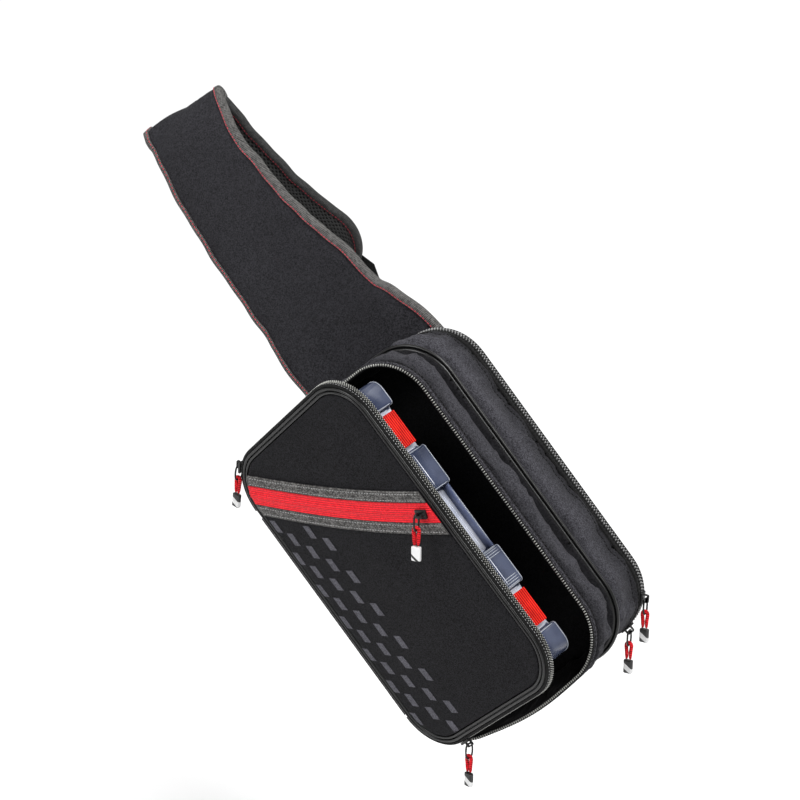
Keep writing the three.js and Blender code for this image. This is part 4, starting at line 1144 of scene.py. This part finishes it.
def pocket():
    half = POCKET_ZIP / 2
    tape_height = 1.15

    def tape(v):
        edge = np.clip(np.minimum(v, 1 - v) * 8, 0, 1)
        return 0.35 + (tape_height - 0.35) * np.sqrt(edge)

    for name, side in (("pocket_tape_upper", 1), ("pocket_tape_lower", -1)):
        build = Build()
        low, high = sorted((side * (half + SEAM), side * (half + SEAM + POCKET_TAPE)))
        pocket_strip(build, low, high, tape, 15)
        for inset in (2.0, 7.6):
            pocket_stitches(build, side * (half + SEAM + inset), tape_height + 0.05)
        build.finish(f"{name}_looks", LID, [grey_tape, grey_thread], nodes=[name])

    def zip_face(v):
        across = np.abs(v - 0.5) * POCKET_ZIP
        chain = np.clip(1 - (across / 3.4) ** 4, 0, 1) * 0.75
        groove = 0.55 * np.exp(-(across / 0.45) ** 2)
        ribs = 0.16 * np.cos(2 * np.pi * across / 1.55)
        return 0.75 + chain - groove + ribs * np.clip(across - 0.6, 0, 1)

    build = Build()
    pocket_strip(build, -half, half, zip_face, 67)
    build.finish("pocket_zip_looks", LID, [red_tape], nodes=["pocket_zip"])


# Dashes printed along the lower left of the lid, in staggered columns

DASH_COLUMNS = [
    {"x": -90.2, "top": 86.6, "rows": 7},
    {"x": -79.5, "top": 68.3, "rows": 6},
    {"x": -66.5, "top": 49.8, "rows": 6},
    {"x": -53.5, "top": 64.4, "rows": 7},
    {"x": -40.0, "top": 46.2, "rows": 6},
]
DASH_STEP = 33.45
DASH_LENGTH = 12.5
DASH_WIDTH = 6.6
DASH_PROUD = 0.35


def dashes(panel):
    """Thin raised dashes that lie on the settled face of the panel."""
    build = Build()
    surface = BVHTree.FromObject(panel, bpy.context.evaluated_depsgraph_get())
    inward = LID.to_3x3() @ Vector((0, 1, 0))
    to_lid = LID.inverted()

    def lie(x, z):
        hit = surface.ray_cast(LID @ Vector((x, -40, z)), inward)[0]
        return (to_lid @ hit).y

    for column in DASH_COLUMNS:
        for row in range(column["rows"]):
            middle = column["top"] - row * DASH_STEP
            sheet = []
            for u in np.linspace(-0.5, 0.5, 7):
                v = np.linspace(-0.5, 0.5, 5) * DASH_WIDTH
                places = zip(column["x"] + v, middle + u * DASH_LENGTH - v * 0.5)
                sheet.append([(x, lie(x, z) - DASH_PROUD, z) for x, z in places])
            sheet = np.array(sheet)
            under = sheet[:, ::-1] + np.array((0, 2 * DASH_PROUD, 0))
            build.grid(np.concatenate([sheet, under], axis=1), loop_columns=True, capped=True)
    return build.finish("lid_dashes", LID, [dash_print], smooth=False)


# Tackle box in the lid

BOX_LEFT = -BAG_WIDTH / 2 + BOX_HINGE_CLEAR
BOX_RIGHT = BOX_LEFT + BOX_WIDTH
BOX_FRONT = FLANGE_BACK + SEAM
BOX_BACK = BOX_FRONT + BOX_DEPTH
BOX_TOP = BOX_LENGTH / 2 - BOX_DROP
BOX_BOTTOM = -BOX_LENGTH / 2 - BOX_DROP
BOX_CORNER = 20
BOX_FLANGE = 2
BOX_STEPS = [
    {"top": 105.3, "bottom": 64.7, "depth": 8},
    {"top": 27.5, "bottom": -35, "depth": 14},
    {"top": -70.7, "bottom": -111.3, "depth": 8},
]
LATCH_CENTRES = {"latch_upper": LATCH_SPREAD - BOX_DROP, "latch_lower": -LATCH_SPREAD - BOX_DROP}
LATCH_X = BOX_RIGHT - BOX_FLANGE - LATCH_BARREL
LATCH_Y = BOX_FRONT + BOX_LID_DEPTH + SEAM + LATCH_BARREL


def filleted(corners, steps=7):
    """A closed outline with each corner rounded by its own radius: corners are x, z, radius."""
    points = []
    count = len(corners)
    for i, (x, z, radius) in enumerate(corners):
        here = np.array((x, z))
        before = np.array(corners[i - 1][:2]) - here
        after = np.array(corners[(i + 1) % count][:2]) - here
        before_length, after_length = np.linalg.norm(before), np.linalg.norm(after)
        reach = min(radius, before_length * 0.48, after_length * 0.48)
        start = here + before / before_length * reach
        end = here + after / after_length * reach
        for t in np.linspace(0, 1, steps):
            points.append((1 - t) ** 2 * start + 2 * t * (1 - t) * here + t ** 2 * end)
    return np.array(points)


def box_outline(right, steps, inward=0.0):
    """The box's outline with steps cut into its right side, moved inward by a distance."""
    edge = right - inward
    top, bottom = BOX_TOP - inward, BOX_BOTTOM + inward
    turn = BOX_CORNER - inward
    corners = [(BOX_LEFT + inward, top, turn), (edge, top, turn)]
    for step in steps:
        wall = edge - step["depth"]
        outer, inner = max(0.4, 3.5 - inward), 2.2 + inward
        corners += [
            (edge, step["top"] + inward, outer), (wall, step["top"] + inward, inner),
            (wall, step["bottom"] - inward, inner), (edge, step["bottom"] - inward, outer),
        ]
    corners += [(edge, bottom, turn), (BOX_LEFT + inward, bottom, turn)]
    return filleted(corners)


def flat_ring(outline, depth):
    return packed(outline[:, 0], depth, outline[:, 1])


def tray(build, right, steps, levels):
    """A shell through levels of inset and depth, closed at both ends by flat plates."""
    rings = [flat_ring(box_outline(right, steps, inset), depth) for inset, depth in levels]
    build.grid(rings, loop_columns=True, capped=True)


def edge_bead(build, right, steps, inset, depth, radius):
    """A thin rounded rib that follows the outline, in the lightened edge plastic that paints its
    highlight.
    """
    rings = []
    for turn in np.arange(6) * math.pi / 3:
        outline = box_outline(right, steps, inset - radius * math.cos(turn))
        rings.append(flat_ring(outline, depth + radius * math.sin(turn)))
    build.grid(np.swapaxes(rings, 0, 1), loop_rows=True, loop_columns=True, part=1)


def block(build, low, high, part):
    """A plain plate between two corners, a little proud of the tray's clear walls, to carry painted
    light on them.
    """
    corners = ((low[1], low[2]), (high[1], low[2]), (high[1], high[2]), (low[1], high[2]))
    rings = [[(x, *corner) for corner in corners] for x in (low[0], high[0])]
    build.grid(rings, loop_columns=True, part=part, capped=True)


RIB_TOPS = [-35.2, -62.6]
RIBS_EACH = 4
RIB_PITCH = 2.1


def rib(build, x, start, end, radius, part):
    """A thin raised rib on the box's side, between two places of y and z."""
    start, end = np.array((x, *start), float), np.array((x, *end), float)
    length = np.linalg.norm(end - start)
    along = (end - start) / length
    middle = (start + end)[None] / 2
    sew(build, middle, along, np.array((1.0, 0, 0)), length, radius, part)


GRIP_FLOOR = 8.5


def box_base():
    """The tray, its rims, its ribs, and the pale plates at the back of its steps; the plates, the pale
    ribs and the rims' beads are painted light.
    """
    right = BOX_RIGHT - BOX_FLANGE
    mouth = BOX_FRONT + BOX_LID_DEPTH + SEAM
    wall = BOX_WALL
    levels = [
        (3.2, BOX_BACK), (1.4, BOX_BACK - 0.45), (0.35, BOX_BACK - 1.5), (0, BOX_BACK - 3.2),
        (0, mouth + 3.2), (-0.7, mouth + 2.8), (-0.7, mouth), (wall, mouth),
        (wall, BOX_BACK - wall - 2), (wall + 0.6, BOX_BACK - wall - 0.6), (wall + 2, BOX_BACK - wall),
    ]
    build = Build()
    tray(build, right, BOX_STEPS, levels)
    # The beads are in the edge plastic: painted highlights along the rims.
    edge_bead(build, right, BOX_STEPS, 0.35, BOX_BACK - 1.3, 0.5)
    edge_bead(build, right, BOX_STEPS, -0.6, mouth + 1.4, 0.8)
    low = mouth + 2
    high = BOX_BACK - 2
    # Ribs in the edge and pale plastics paint highlights, and the pale plates paint light through the
    # steps' walls.
    for step in BOX_STEPS:
        side = right - step["depth"]
        for edge, way in ((step["top"], 1), (step["bottom"], -1)):
            outer, inner = edge + way * 0.9, edge - way * 1.6
            rib(build, right - 0.5, (low, outer), (high, outer), 0.55, 1)
            rib(build, side, (low, inner), (high, inner), 0.6, 2)
        block(build, (side, low, step["bottom"] + 2), (side + 0.6, high, step["top"] - 2), 2)
    # These fine ribs are drawn white in the edge plastic as painted highlights.
    for top in RIB_TOPS:
        for z in top - np.arange(RIBS_EACH) * RIB_PITCH:
            rib(build, right, (low, z), (high, z), 0.5, 1)
    shelf = BOX_FRONT + 20.3
    for above, below in zip(BOX_STEPS, BOX_STEPS[1:]):
        rib(build, right + 0.1, (shelf, below["top"] + 2), (shelf, above["bottom"] - 2), 0.5, 2)
    grip = BOX_STEPS[1]
    side = right - grip["depth"]
    floor = side + GRIP_FLOOR
    bottom, top = grip["bottom"] + 0.6, grip["top"] - 0.6
    shelf = BOX_FRONT + 31.8
    rib(build, side + 0.6, (shelf, bottom), (shelf, top), 0.6, 2)
    # The grip's wall is painted light in a lighter blue, with a painted bright edge rib at its floor.
    block(build, (side - 0.5, high - 0.4, bottom), (floor, BOX_BACK - 0.4, top), 3)
    rib(build, floor, (BOX_BACK - 1.2, bottom), (BOX_BACK - 1.2, top), 0.7, 1)
    return build.finish(
        "box_base_looks", LID, [clear_body, clear_edge_painted_highlight, clear_pale_painted_light, clear_blue_painted_light],
        nodes=["box_base"],
    )


def box_lid():
    """The box's lid with two lugs beside each latch, all in the lightened edge plastic that paints a
    pale highlight.
    """
    mouth = BOX_FRONT + BOX_LID_DEPTH
    wall = BOX_WALL
    levels = [
        (2.6, BOX_FRONT), (0.9, BOX_FRONT + 0.3), (0.1, BOX_FRONT + 1.2), (0, mouth - 0.4),
        (0.4, mouth), (wall, mouth), (wall, BOX_FRONT + wall + 0.6), (wall + 0.8, BOX_FRONT + wall),
    ]
    build = Build()
    tray(build, BOX_RIGHT, [], levels)
    edge_bead(build, BOX_RIGHT, [], 0.1, BOX_FRONT + 2.2, 0.75)
    left, right = LATCH_X - LATCH_BARREL, LATCH_X + LATCH_BARREL
    foot, top = BOX_FRONT + wall / 2, LATCH_Y + LATCH_BARREL
    lug = filleted([(left, foot, 0.4), (right, foot, 0.4), (right, top, 2), (left, top, 2)], steps=5)
    half = 1.5
    for centre in LATCH_CENTRES.values():
        for side in (-1, 1):
            z = centre + side * (LATCH_LENGTH / 2 + SEAM + half)
            rings = [packed(lug[:, 0], lug[:, 1], z + end * half) for end in (-1, 1)]
            build.grid(rings, loop_columns=True, part=1, capped=True)
    return build.finish("box_lid_looks", LID, [clear_edge_painted_highlight, clear_edge_painted_highlight],
                        nodes=["box_lid"])


LATCH_RIBS = 11


def latch(name):
    """A ribbed plate on a barrel: one profile drawn along the box, with eased ends."""
    outer = LATCH_X + LATCH_BARREL
    inner = outer - 2.6
    start = LATCH_Y + LATCH_BARREL
    end = LATCH_Y + LATCH_REACH
    turns = np.radians(np.arange(180, 361, 15))
    barrel = packed(LATCH_X + LATCH_BARREL * np.cos(turns), LATCH_Y + LATCH_BARREL * np.sin(turns))
    y = np.linspace(start, end, 89)[:-2]
    wave = np.abs(np.sin(np.pi * (y - start) / (end - start) * LATCH_RIBS))
    plate_end = [
        (outer - 0.4, end - 0.3), (outer - 1.0, end), (inner + 0.4, end), (inner, end - 0.5),
        (inner, start), (LATCH_X - LATCH_BARREL, LATCH_Y + LATCH_BARREL / 2),
    ]
    profile = np.concatenate([barrel, packed(outer - 0.8 + 0.8 * wave ** 0.6, y), plate_end])
    # Faces in the grooves between ribs get the painted-shade plastic.
    painted_shade_faces = np.concatenate([np.zeros(len(barrel)), wave < 0.5, np.zeros(len(plate_end))])
    middle = profile.mean(axis=0)
    half = LATCH_LENGTH / 2
    eased_end = ((half, 0.93), (half - 0.25, 0.98), (half - 0.8, 1))
    rings = []
    for z, scale in [(-z, scale) for z, scale in eased_end] + list(eased_end[::-1]):
        ring = middle + (profile - middle) * (scale, scale * 0.5 + 0.5)
        rings.append(packed(ring[:, 0], ring[:, 1], z + LATCH_CENTRES[name]))
    build = Build()
    build.grid(rings, loop_columns=True, part=painted_shade_faces.astype(int), capped=True)
    return build.finish(
        f"{name}_looks", LID, [latch_plastic, latch_groove_painted_shade], body=name, nodes=[name],
    )


# Strap: the CAD source's table of sections, smoothed

STRAP_ROWS = [
    {"rise": -0.0845, "back": 0, "shift": -0.05, "width": 1.82, "slant": 0},
    {"rise": 0, "back": 0, "shift": -0.07, "width": 1.78, "slant": 0},
    {"rise": 0.17, "back": -0.02, "shift": -0.18, "width": 1.57, "slant": 0},
    {"rise": 0.29, "back": -0.02, "shift": -0.2, "width": 1.46, "slant": 0},
    {"rise": 0.41, "back": 0, "shift": -0.25, "width": 1.35, "slant": 0},
    {"rise": 0.52, "back": 0, "shift": -0.29, "width": 1.25, "slant": 0},
    {"rise": 0.63, "back": 0, "shift": -0.3, "width": 1.18, "slant": 0},
    {"rise": 0.74, "back": 0.01, "shift": -0.3, "width": 1.12, "slant": -3},
    {"rise": 0.83, "back": 0.04, "shift": -0.29, "width": 1.06, "slant": -9},
    {"rise": 0.915, "back": 0.14, "shift": -0.26, "width": 1.03, "slant": -14},
    {"rise": 0.975, "back": 0.35, "shift": -0.25, "width": 1.02, "slant": -13},
    {"rise": 1, "back": 0.62, "shift": -0.27, "width": 1, "slant": -12},
    {"rise": 0.972, "back": 0.9, "shift": -0.29, "width": 0.98, "slant": -10},
    {"rise": 0.9, "back": 1.06, "shift": -0.3, "width": 0.96, "slant": -6},
    {"rise": 0.77, "back": 1.27, "shift": -0.28, "width": 0.91, "slant": 0},
    {"rise": 0.63, "back": 1.54, "shift": -0.24, "width": 0.87, "slant": 0},
    {"rise": 0.52, "back": 1.72, "shift": -0.17, "width": 0.84, "slant": 0},
    {"rise": 0.425, "back": 1.86, "shift": -0.08, "width": 0.82, "slant": 0},
]
STRAP_FRONT = SEAM + BACK_PADDING + SEAM + STRAP_THICKNESS / 2 + BINDING_PROUD
TIP_TURN = 16


class Strap:
    """Sections along the strap: centre, along, across, outward direction and half width."""

    def __init__(self, steps=210):
        rows = np.array([
            (r["shift"] * STRAP_FOLD, STRAP_FRONT + r["back"] * STRAP_GAP,
             BAG_LENGTH / 2 + r["rise"] * STRAP_RISE, r["width"] * STRAP_FOLD / 2, r["slant"])
            for r in STRAP_ROWS
        ])
        fine = spline(rows, steps, placed=3)
        self.centre = fine[:, :3]
        self.half = fine[:, 3]
        along = np.gradient(self.centre, axis=0)
        self.along = along / np.linalg.norm(along, axis=1)[:, None]
        slant = np.radians(fine[:, 4])
        level = np.stack([np.cos(slant), np.zeros(steps), np.sin(slant)], axis=1)
        level -= self.along * (level * self.along).sum(axis=1)[:, None]
        self.across = level / np.linalg.norm(level, axis=1)[:, None]
        self.outward = -np.cross(self.along, self.across)
        self.length = lengths(self.centre)
        self.tip = self.half[-1]

    def point(self, i, side, lift):
        return self.centre[i] + self.across[i] * side + self.outward[i] * lift

    def past(self, distance, side, lift):
        """A point beyond the last section, on the rounded tip."""
        return self.point(-1, side, lift) + self.along[-1] * distance

    def edge_wave(self, i, side):
        """The bound edges wander a little, as sewn foam does."""
        s = self.length[i]
        fade = min(1, s / 60, (self.length[-1] - s) / 40)
        return fade * (0.45 * math.sin(s / 9 + side) + 0.35 * math.sin(s / 4.7 + 2 * side))


strap = Strap()


def strap_sheet(inset_by, section):
    """Rows along the strap and round its tip: section(width) gives side and lift pairs."""
    rows = [
        [strap.point(i, *pair) for pair in section(half - inset_by)]
        for i, half in enumerate(strap.half)
    ]
    radius = strap.tip - inset_by
    for i in range(1, TIP_TURN):
        angle = math.pi / 2 * i / (TIP_TURN - 0.6)
        reach = radius * math.sin(angle)
        rows.append([strap.past(reach, *pair) for pair in section(radius * math.cos(angle))])
    return np.array(rows)


UNDERSIDE = (1, 0.34, -0.34, -1)


def strap_pad():
    """Outer cloth over foam: its face settles between the two bound edges."""
    half = STRAP_THICKNESS / 2
    inset_by = BINDING - 1.2
    columns = np.linspace(-1, 1, 25)
    under = -half + STRAP_LINING + 0.5
    crown = half - 0.9 * np.abs(columns) ** 8
    sheet = strap_sheet(inset_by, lambda width: zip(columns * width, crown))
    face, tip = np.split(sheet, [len(strap.half)])
    face += strap.outward[:, None] * ripple(face, 30, 31)[..., None] * 0.9
    from_crest = strap.length - strap.length[np.argmax(strap.centre[:, 2])]
    lift = 3 * np.exp(-(from_crest / 38) ** 2)[:, None] * (1 - columns ** 2)
    face += strap.outward[:, None] * lift[..., None]
    held = np.zeros(face.shape[:2], bool)
    held[[0, -1]] = True
    held[:, [0, -1]] = True
    face = settle(face, held, away=-1, pressure=2, growth=0.012, cap=1.8, bending=0.5)
    back = strap_sheet(inset_by, lambda width: [(u * width, under) for u in UNDERSIDE])
    build = Build()
    rings = np.concatenate([np.concatenate([face, tip]), back], axis=1)
    build.grid(rings, loop_columns=True, capped=True)
    pad = build.finish("strap_pad_looks", BAG, [strap_cloth], nodes=["strap_pad"])
    return pad


def strap_lining():
    """Spacer mesh against the wearer, a little domed."""
    half = STRAP_THICKNESS / 2
    columns = np.linspace(-1, 1, 21)
    upper = -half + STRAP_LINING

    def section(width):
        low = [(u * width, -half - 0.5 * (1 - u ** 4) + 0.4 * abs(u) ** 12) for u in columns]
        return low + [(u * width, upper) for u in UNDERSIDE]

    build = Build()
    build.grid(strap_sheet(BINDING - 1.2, section), loop_columns=True, capped=True)
    lining = build.finish("strap_lining_looks", BAG, [strap_mesh], nodes=["strap_lining"])
    return lining


BINDING_SECTION = [
    {"in": 5.5, "lift": 3.9}, {"in": 5.4, "lift": 4.5}, {"in": 4.4, "lift": 4.75},
    {"in": 2.4, "lift": 4.7}, {"in": 0.9, "lift": 4.2}, {"in": 0.1, "lift": 3.0},
]
BINDING_STITCH = 4.4


def binding_path():
    """Places round the strap's edge as functions of a distance inward and a lift."""
    path = []

    def on_side(i, side):
        edge = strap.half[i] + strap.edge_wave(i, side)
        return lambda inward, lift: strap.point(i, side * (edge - inward), lift)

    def on_tip(angle):
        def place(inward, lift):
            radius = strap.tip - inward
            return strap.past(radius * math.sin(angle), radius * math.cos(angle), lift)
        return place

    count = len(strap.half)
    path += [on_side(i, -1) for i in range(count)]
    path += [on_tip(math.pi * (1 - i / 30)) for i in range(1, 30)]
    path += [on_side(i, 1) for i in range(count - 1, -1, -1)]
    return path


def strap_binding():
    """Folded tape round the strap's edge with a seam on both faces; the rear stretch and the mesh
    side's stitches are painted darker as shade.
    """
    path = binding_path()
    section = [*BINDING_SECTION, {"in": -0.2, "lift": 0}]
    section += [{"in": point["in"], "lift": -point["lift"]} for point in BINDING_SECTION[::-1]]
    rows = np.array([[place(point["in"], point["lift"]) for point in section] for place in path])
    build = Build()
    crest = int(np.argmax(strap.centre[:, 2])) + 4
    last = len(rows) - 1
    # Part 2 on the rear stretch is the painted-shade tape.
    for first, until, part in ((0, crest, 0), (crest, last - crest, 2), (last - crest, last, 0)):
        build.grid(rows[first:until + 1], loop_columns=True, part=part)
    around = np.arange(len(section))
    build.cap(around[::-1])
    build.cap(build.count - len(section) + around)
    # The stitches on the mesh side take the painted-shade red thread.
    for lift, thread in ((4.8, 1), (-4.8, 3)):
        seam, above = (
            np.array([place(BINDING_STITCH, lift * share) for place in path]) for share in (1, 1.2)
        )
        steps = lengths(seam)
        at = evenly(2, steps[-1] - 2, 3.1)
        points = between(at, steps, seam)
        out = unit(between(at, steps, above) - points)
        along = unit(between(at + 1, steps, seam) - points)
        sew(build, points, along, out, 2.2, 0.42, part=thread)
    return build.finish(
        "strap_binding_looks", BAG, [binding_tape, red_thread, shaded_tape, shaded_red],
        nodes=["strap_binding"],
    )


# CAD pieces whose shape is right and only need eased edges

def eased(node, materials, width=0.4, segments=2, smooth_levels=0, swell=0, body="bag"):
    """A copy of a CAD node with bevelled or smoothed edges, in place of the node."""
    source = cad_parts[node]
    mesh = source.data.copy()
    mesh.materials.clear()
    for material in materials:
        mesh.materials.append(material)
    shape = bmesh.new()
    shape.from_mesh(mesh)
    bmesh.ops.remove_doubles(shape, verts=shape.verts, dist=1e-6)
    bmesh.ops.dissolve_limit(
        shape, angle_limit=math.radians(3), verts=shape.verts, edges=shape.edges,
    )
    shape.normal_update()
    for point in shape.verts:
        point.co += point.normal * swell * MM
    layer = shape.loops.layers.uv.verify()
    for face in shape.faces:
        face.smooth = True
        face.material_index = 0
        for loop in face.loops:
            loop[layer].uv = (loop.vert.co.z * 1000, loop.vert.co.x * 1000)
    shape.to_mesh(mesh)
    shape.free()
    obj = add_object(f"{node}_looks", mesh)
    if width:
        bevel = obj.modifiers.new("bevel", "BEVEL")
        bevel.width = width * MM
        bevel.segments = segments
        bevel.limit_method = "ANGLE"
        bevel.angle_limit = math.radians(28)
        bevel.harden_normals = True
    if smooth_levels:
        rounding = obj.modifiers.new("rounding", "SUBSURF")
        rounding.levels = rounding.render_levels = smooth_levels
    return dress(obj, body, [node])


def pulls():
    for name in ("rear_a", "rear_b", "lid_bottom", "lid_top", "pocket"):
        eased(f"pull_{name}_slider", [black_metal], width=0.5)
        eased(f"pull_{name}_loop", [black_metal], width=0, smooth_levels=1, swell=0.15)
        eased(f"pull_{name}_cord", [red_cord], width=0, smooth_levels=1, swell=0.85)
        tip = pale_tip if name == "pocket" else dark_tip
        eased(f"pull_{name}_tip", [tip], width=0.8, segments=3)


# Webbing behind the strap

def webbing():
    for name in ("strap_webbing", "anchor_tab"):
        eased(name, [webbing_weave], width=0.35)
    eased("strap_adjuster", [black_plastic], width=0.9, segments=3)


# Studio

def studio():
    scene = bpy.context.scene
    scene.view_settings.view_transform = "Standard"
    scene.view_settings.look = "None"
    world = bpy.data.worlds.new("studio")
    world.use_nodes = True
    background = world.node_tree.nodes["Background"]
    background.inputs["Color"].default_value = (1, 1, 1, 1)
    background.inputs["Strength"].default_value = 0.55
    scene.world = world

    floor_mesh = bpy.data.meshes.new("floor")
    reach = 40
    drop = cad_box[0].z - 0.3
    floor_mesh.from_pydata(
        [(x, y, drop) for x, y in ((-reach, -reach), (reach, -reach), (reach, reach), (-reach, reach))],
        [], [(0, 1, 2, 3)],
    )
    paint = Graph("floor_paint")
    paint.set(Base_Color=(0.93, 0.93, 0.93, 1), Roughness=1, Specular_IOR_Level=0)
    floor_mesh.materials.append(paint.material)
    add_object("floor", floor_mesh)

    sun_data = bpy.data.lights.new("soft_sun", "SUN")
    sun_data.energy = 2.25
    sun_data.angle = math.radians(24)
    sun = add_object("soft_sun", sun_data)
    sun.rotation_euler = (-Vector((1.0, -0.55, 1.35))).to_track_quat("-Z", "Y").to_euler()

    middle = (cad_box[0] + cad_box[1]) / 2
    for name, place, power, size in (
        ("side_light", (0.4, 0.03, 0.75), 4, 0.4),
        ("front_light", (-0.47, -0.85, 0.75), 7, 0.5),
        ("rim_light", (0.6, 1.8, 1.5), 5, 1.2),
    ):
        data = bpy.data.lights.new(name, "AREA")
        data.energy = power
        data.size = size
        light = add_object(name, data)
        light.location = middle + Vector(place)
        light.rotation_euler = (-Vector(place)).to_track_quat("-Z", "Y").to_euler()


# Both gussets wear cloth with painted shade towards their seams.
gusset(
    "rear_gusset", rear_cloth_painted_shade, (-REAR_DEPTH + PIPING + SEAM, -REAR_ZIP - SEAM), 6, -4, sag=0, seed=1,
    held_band=(0.0, 0.97), seam_side="front", stitch_at=[-REAR_ZIP - 2.2, -REAR_ZIP - 8.2],
)
gusset(
    "front_gusset", front_cloth_painted_shade, (FRONT_RIM + FRONT_ZIP + SEAM, -REAR_DEPTH - PIPING - SEAM), 5, 1,
    sag=1, seed=2, held_band=(0.1, 1.0), seam_side="back", stitch_at=[FRONT_RIM + FRONT_ZIP + 2.4],
)
rear_zip()
side_piping()
front_zip_body()
divider()
back_panel()
dashes(lid_shell())
lid_piping()
front_zip_lid()
lid_hinge()
pocket()
box_base()
box_lid()
latch("latch_upper")
latch("latch_lower")
strap_pad()
strap_lining()
strap_binding()
webbing()
pulls()
studio()
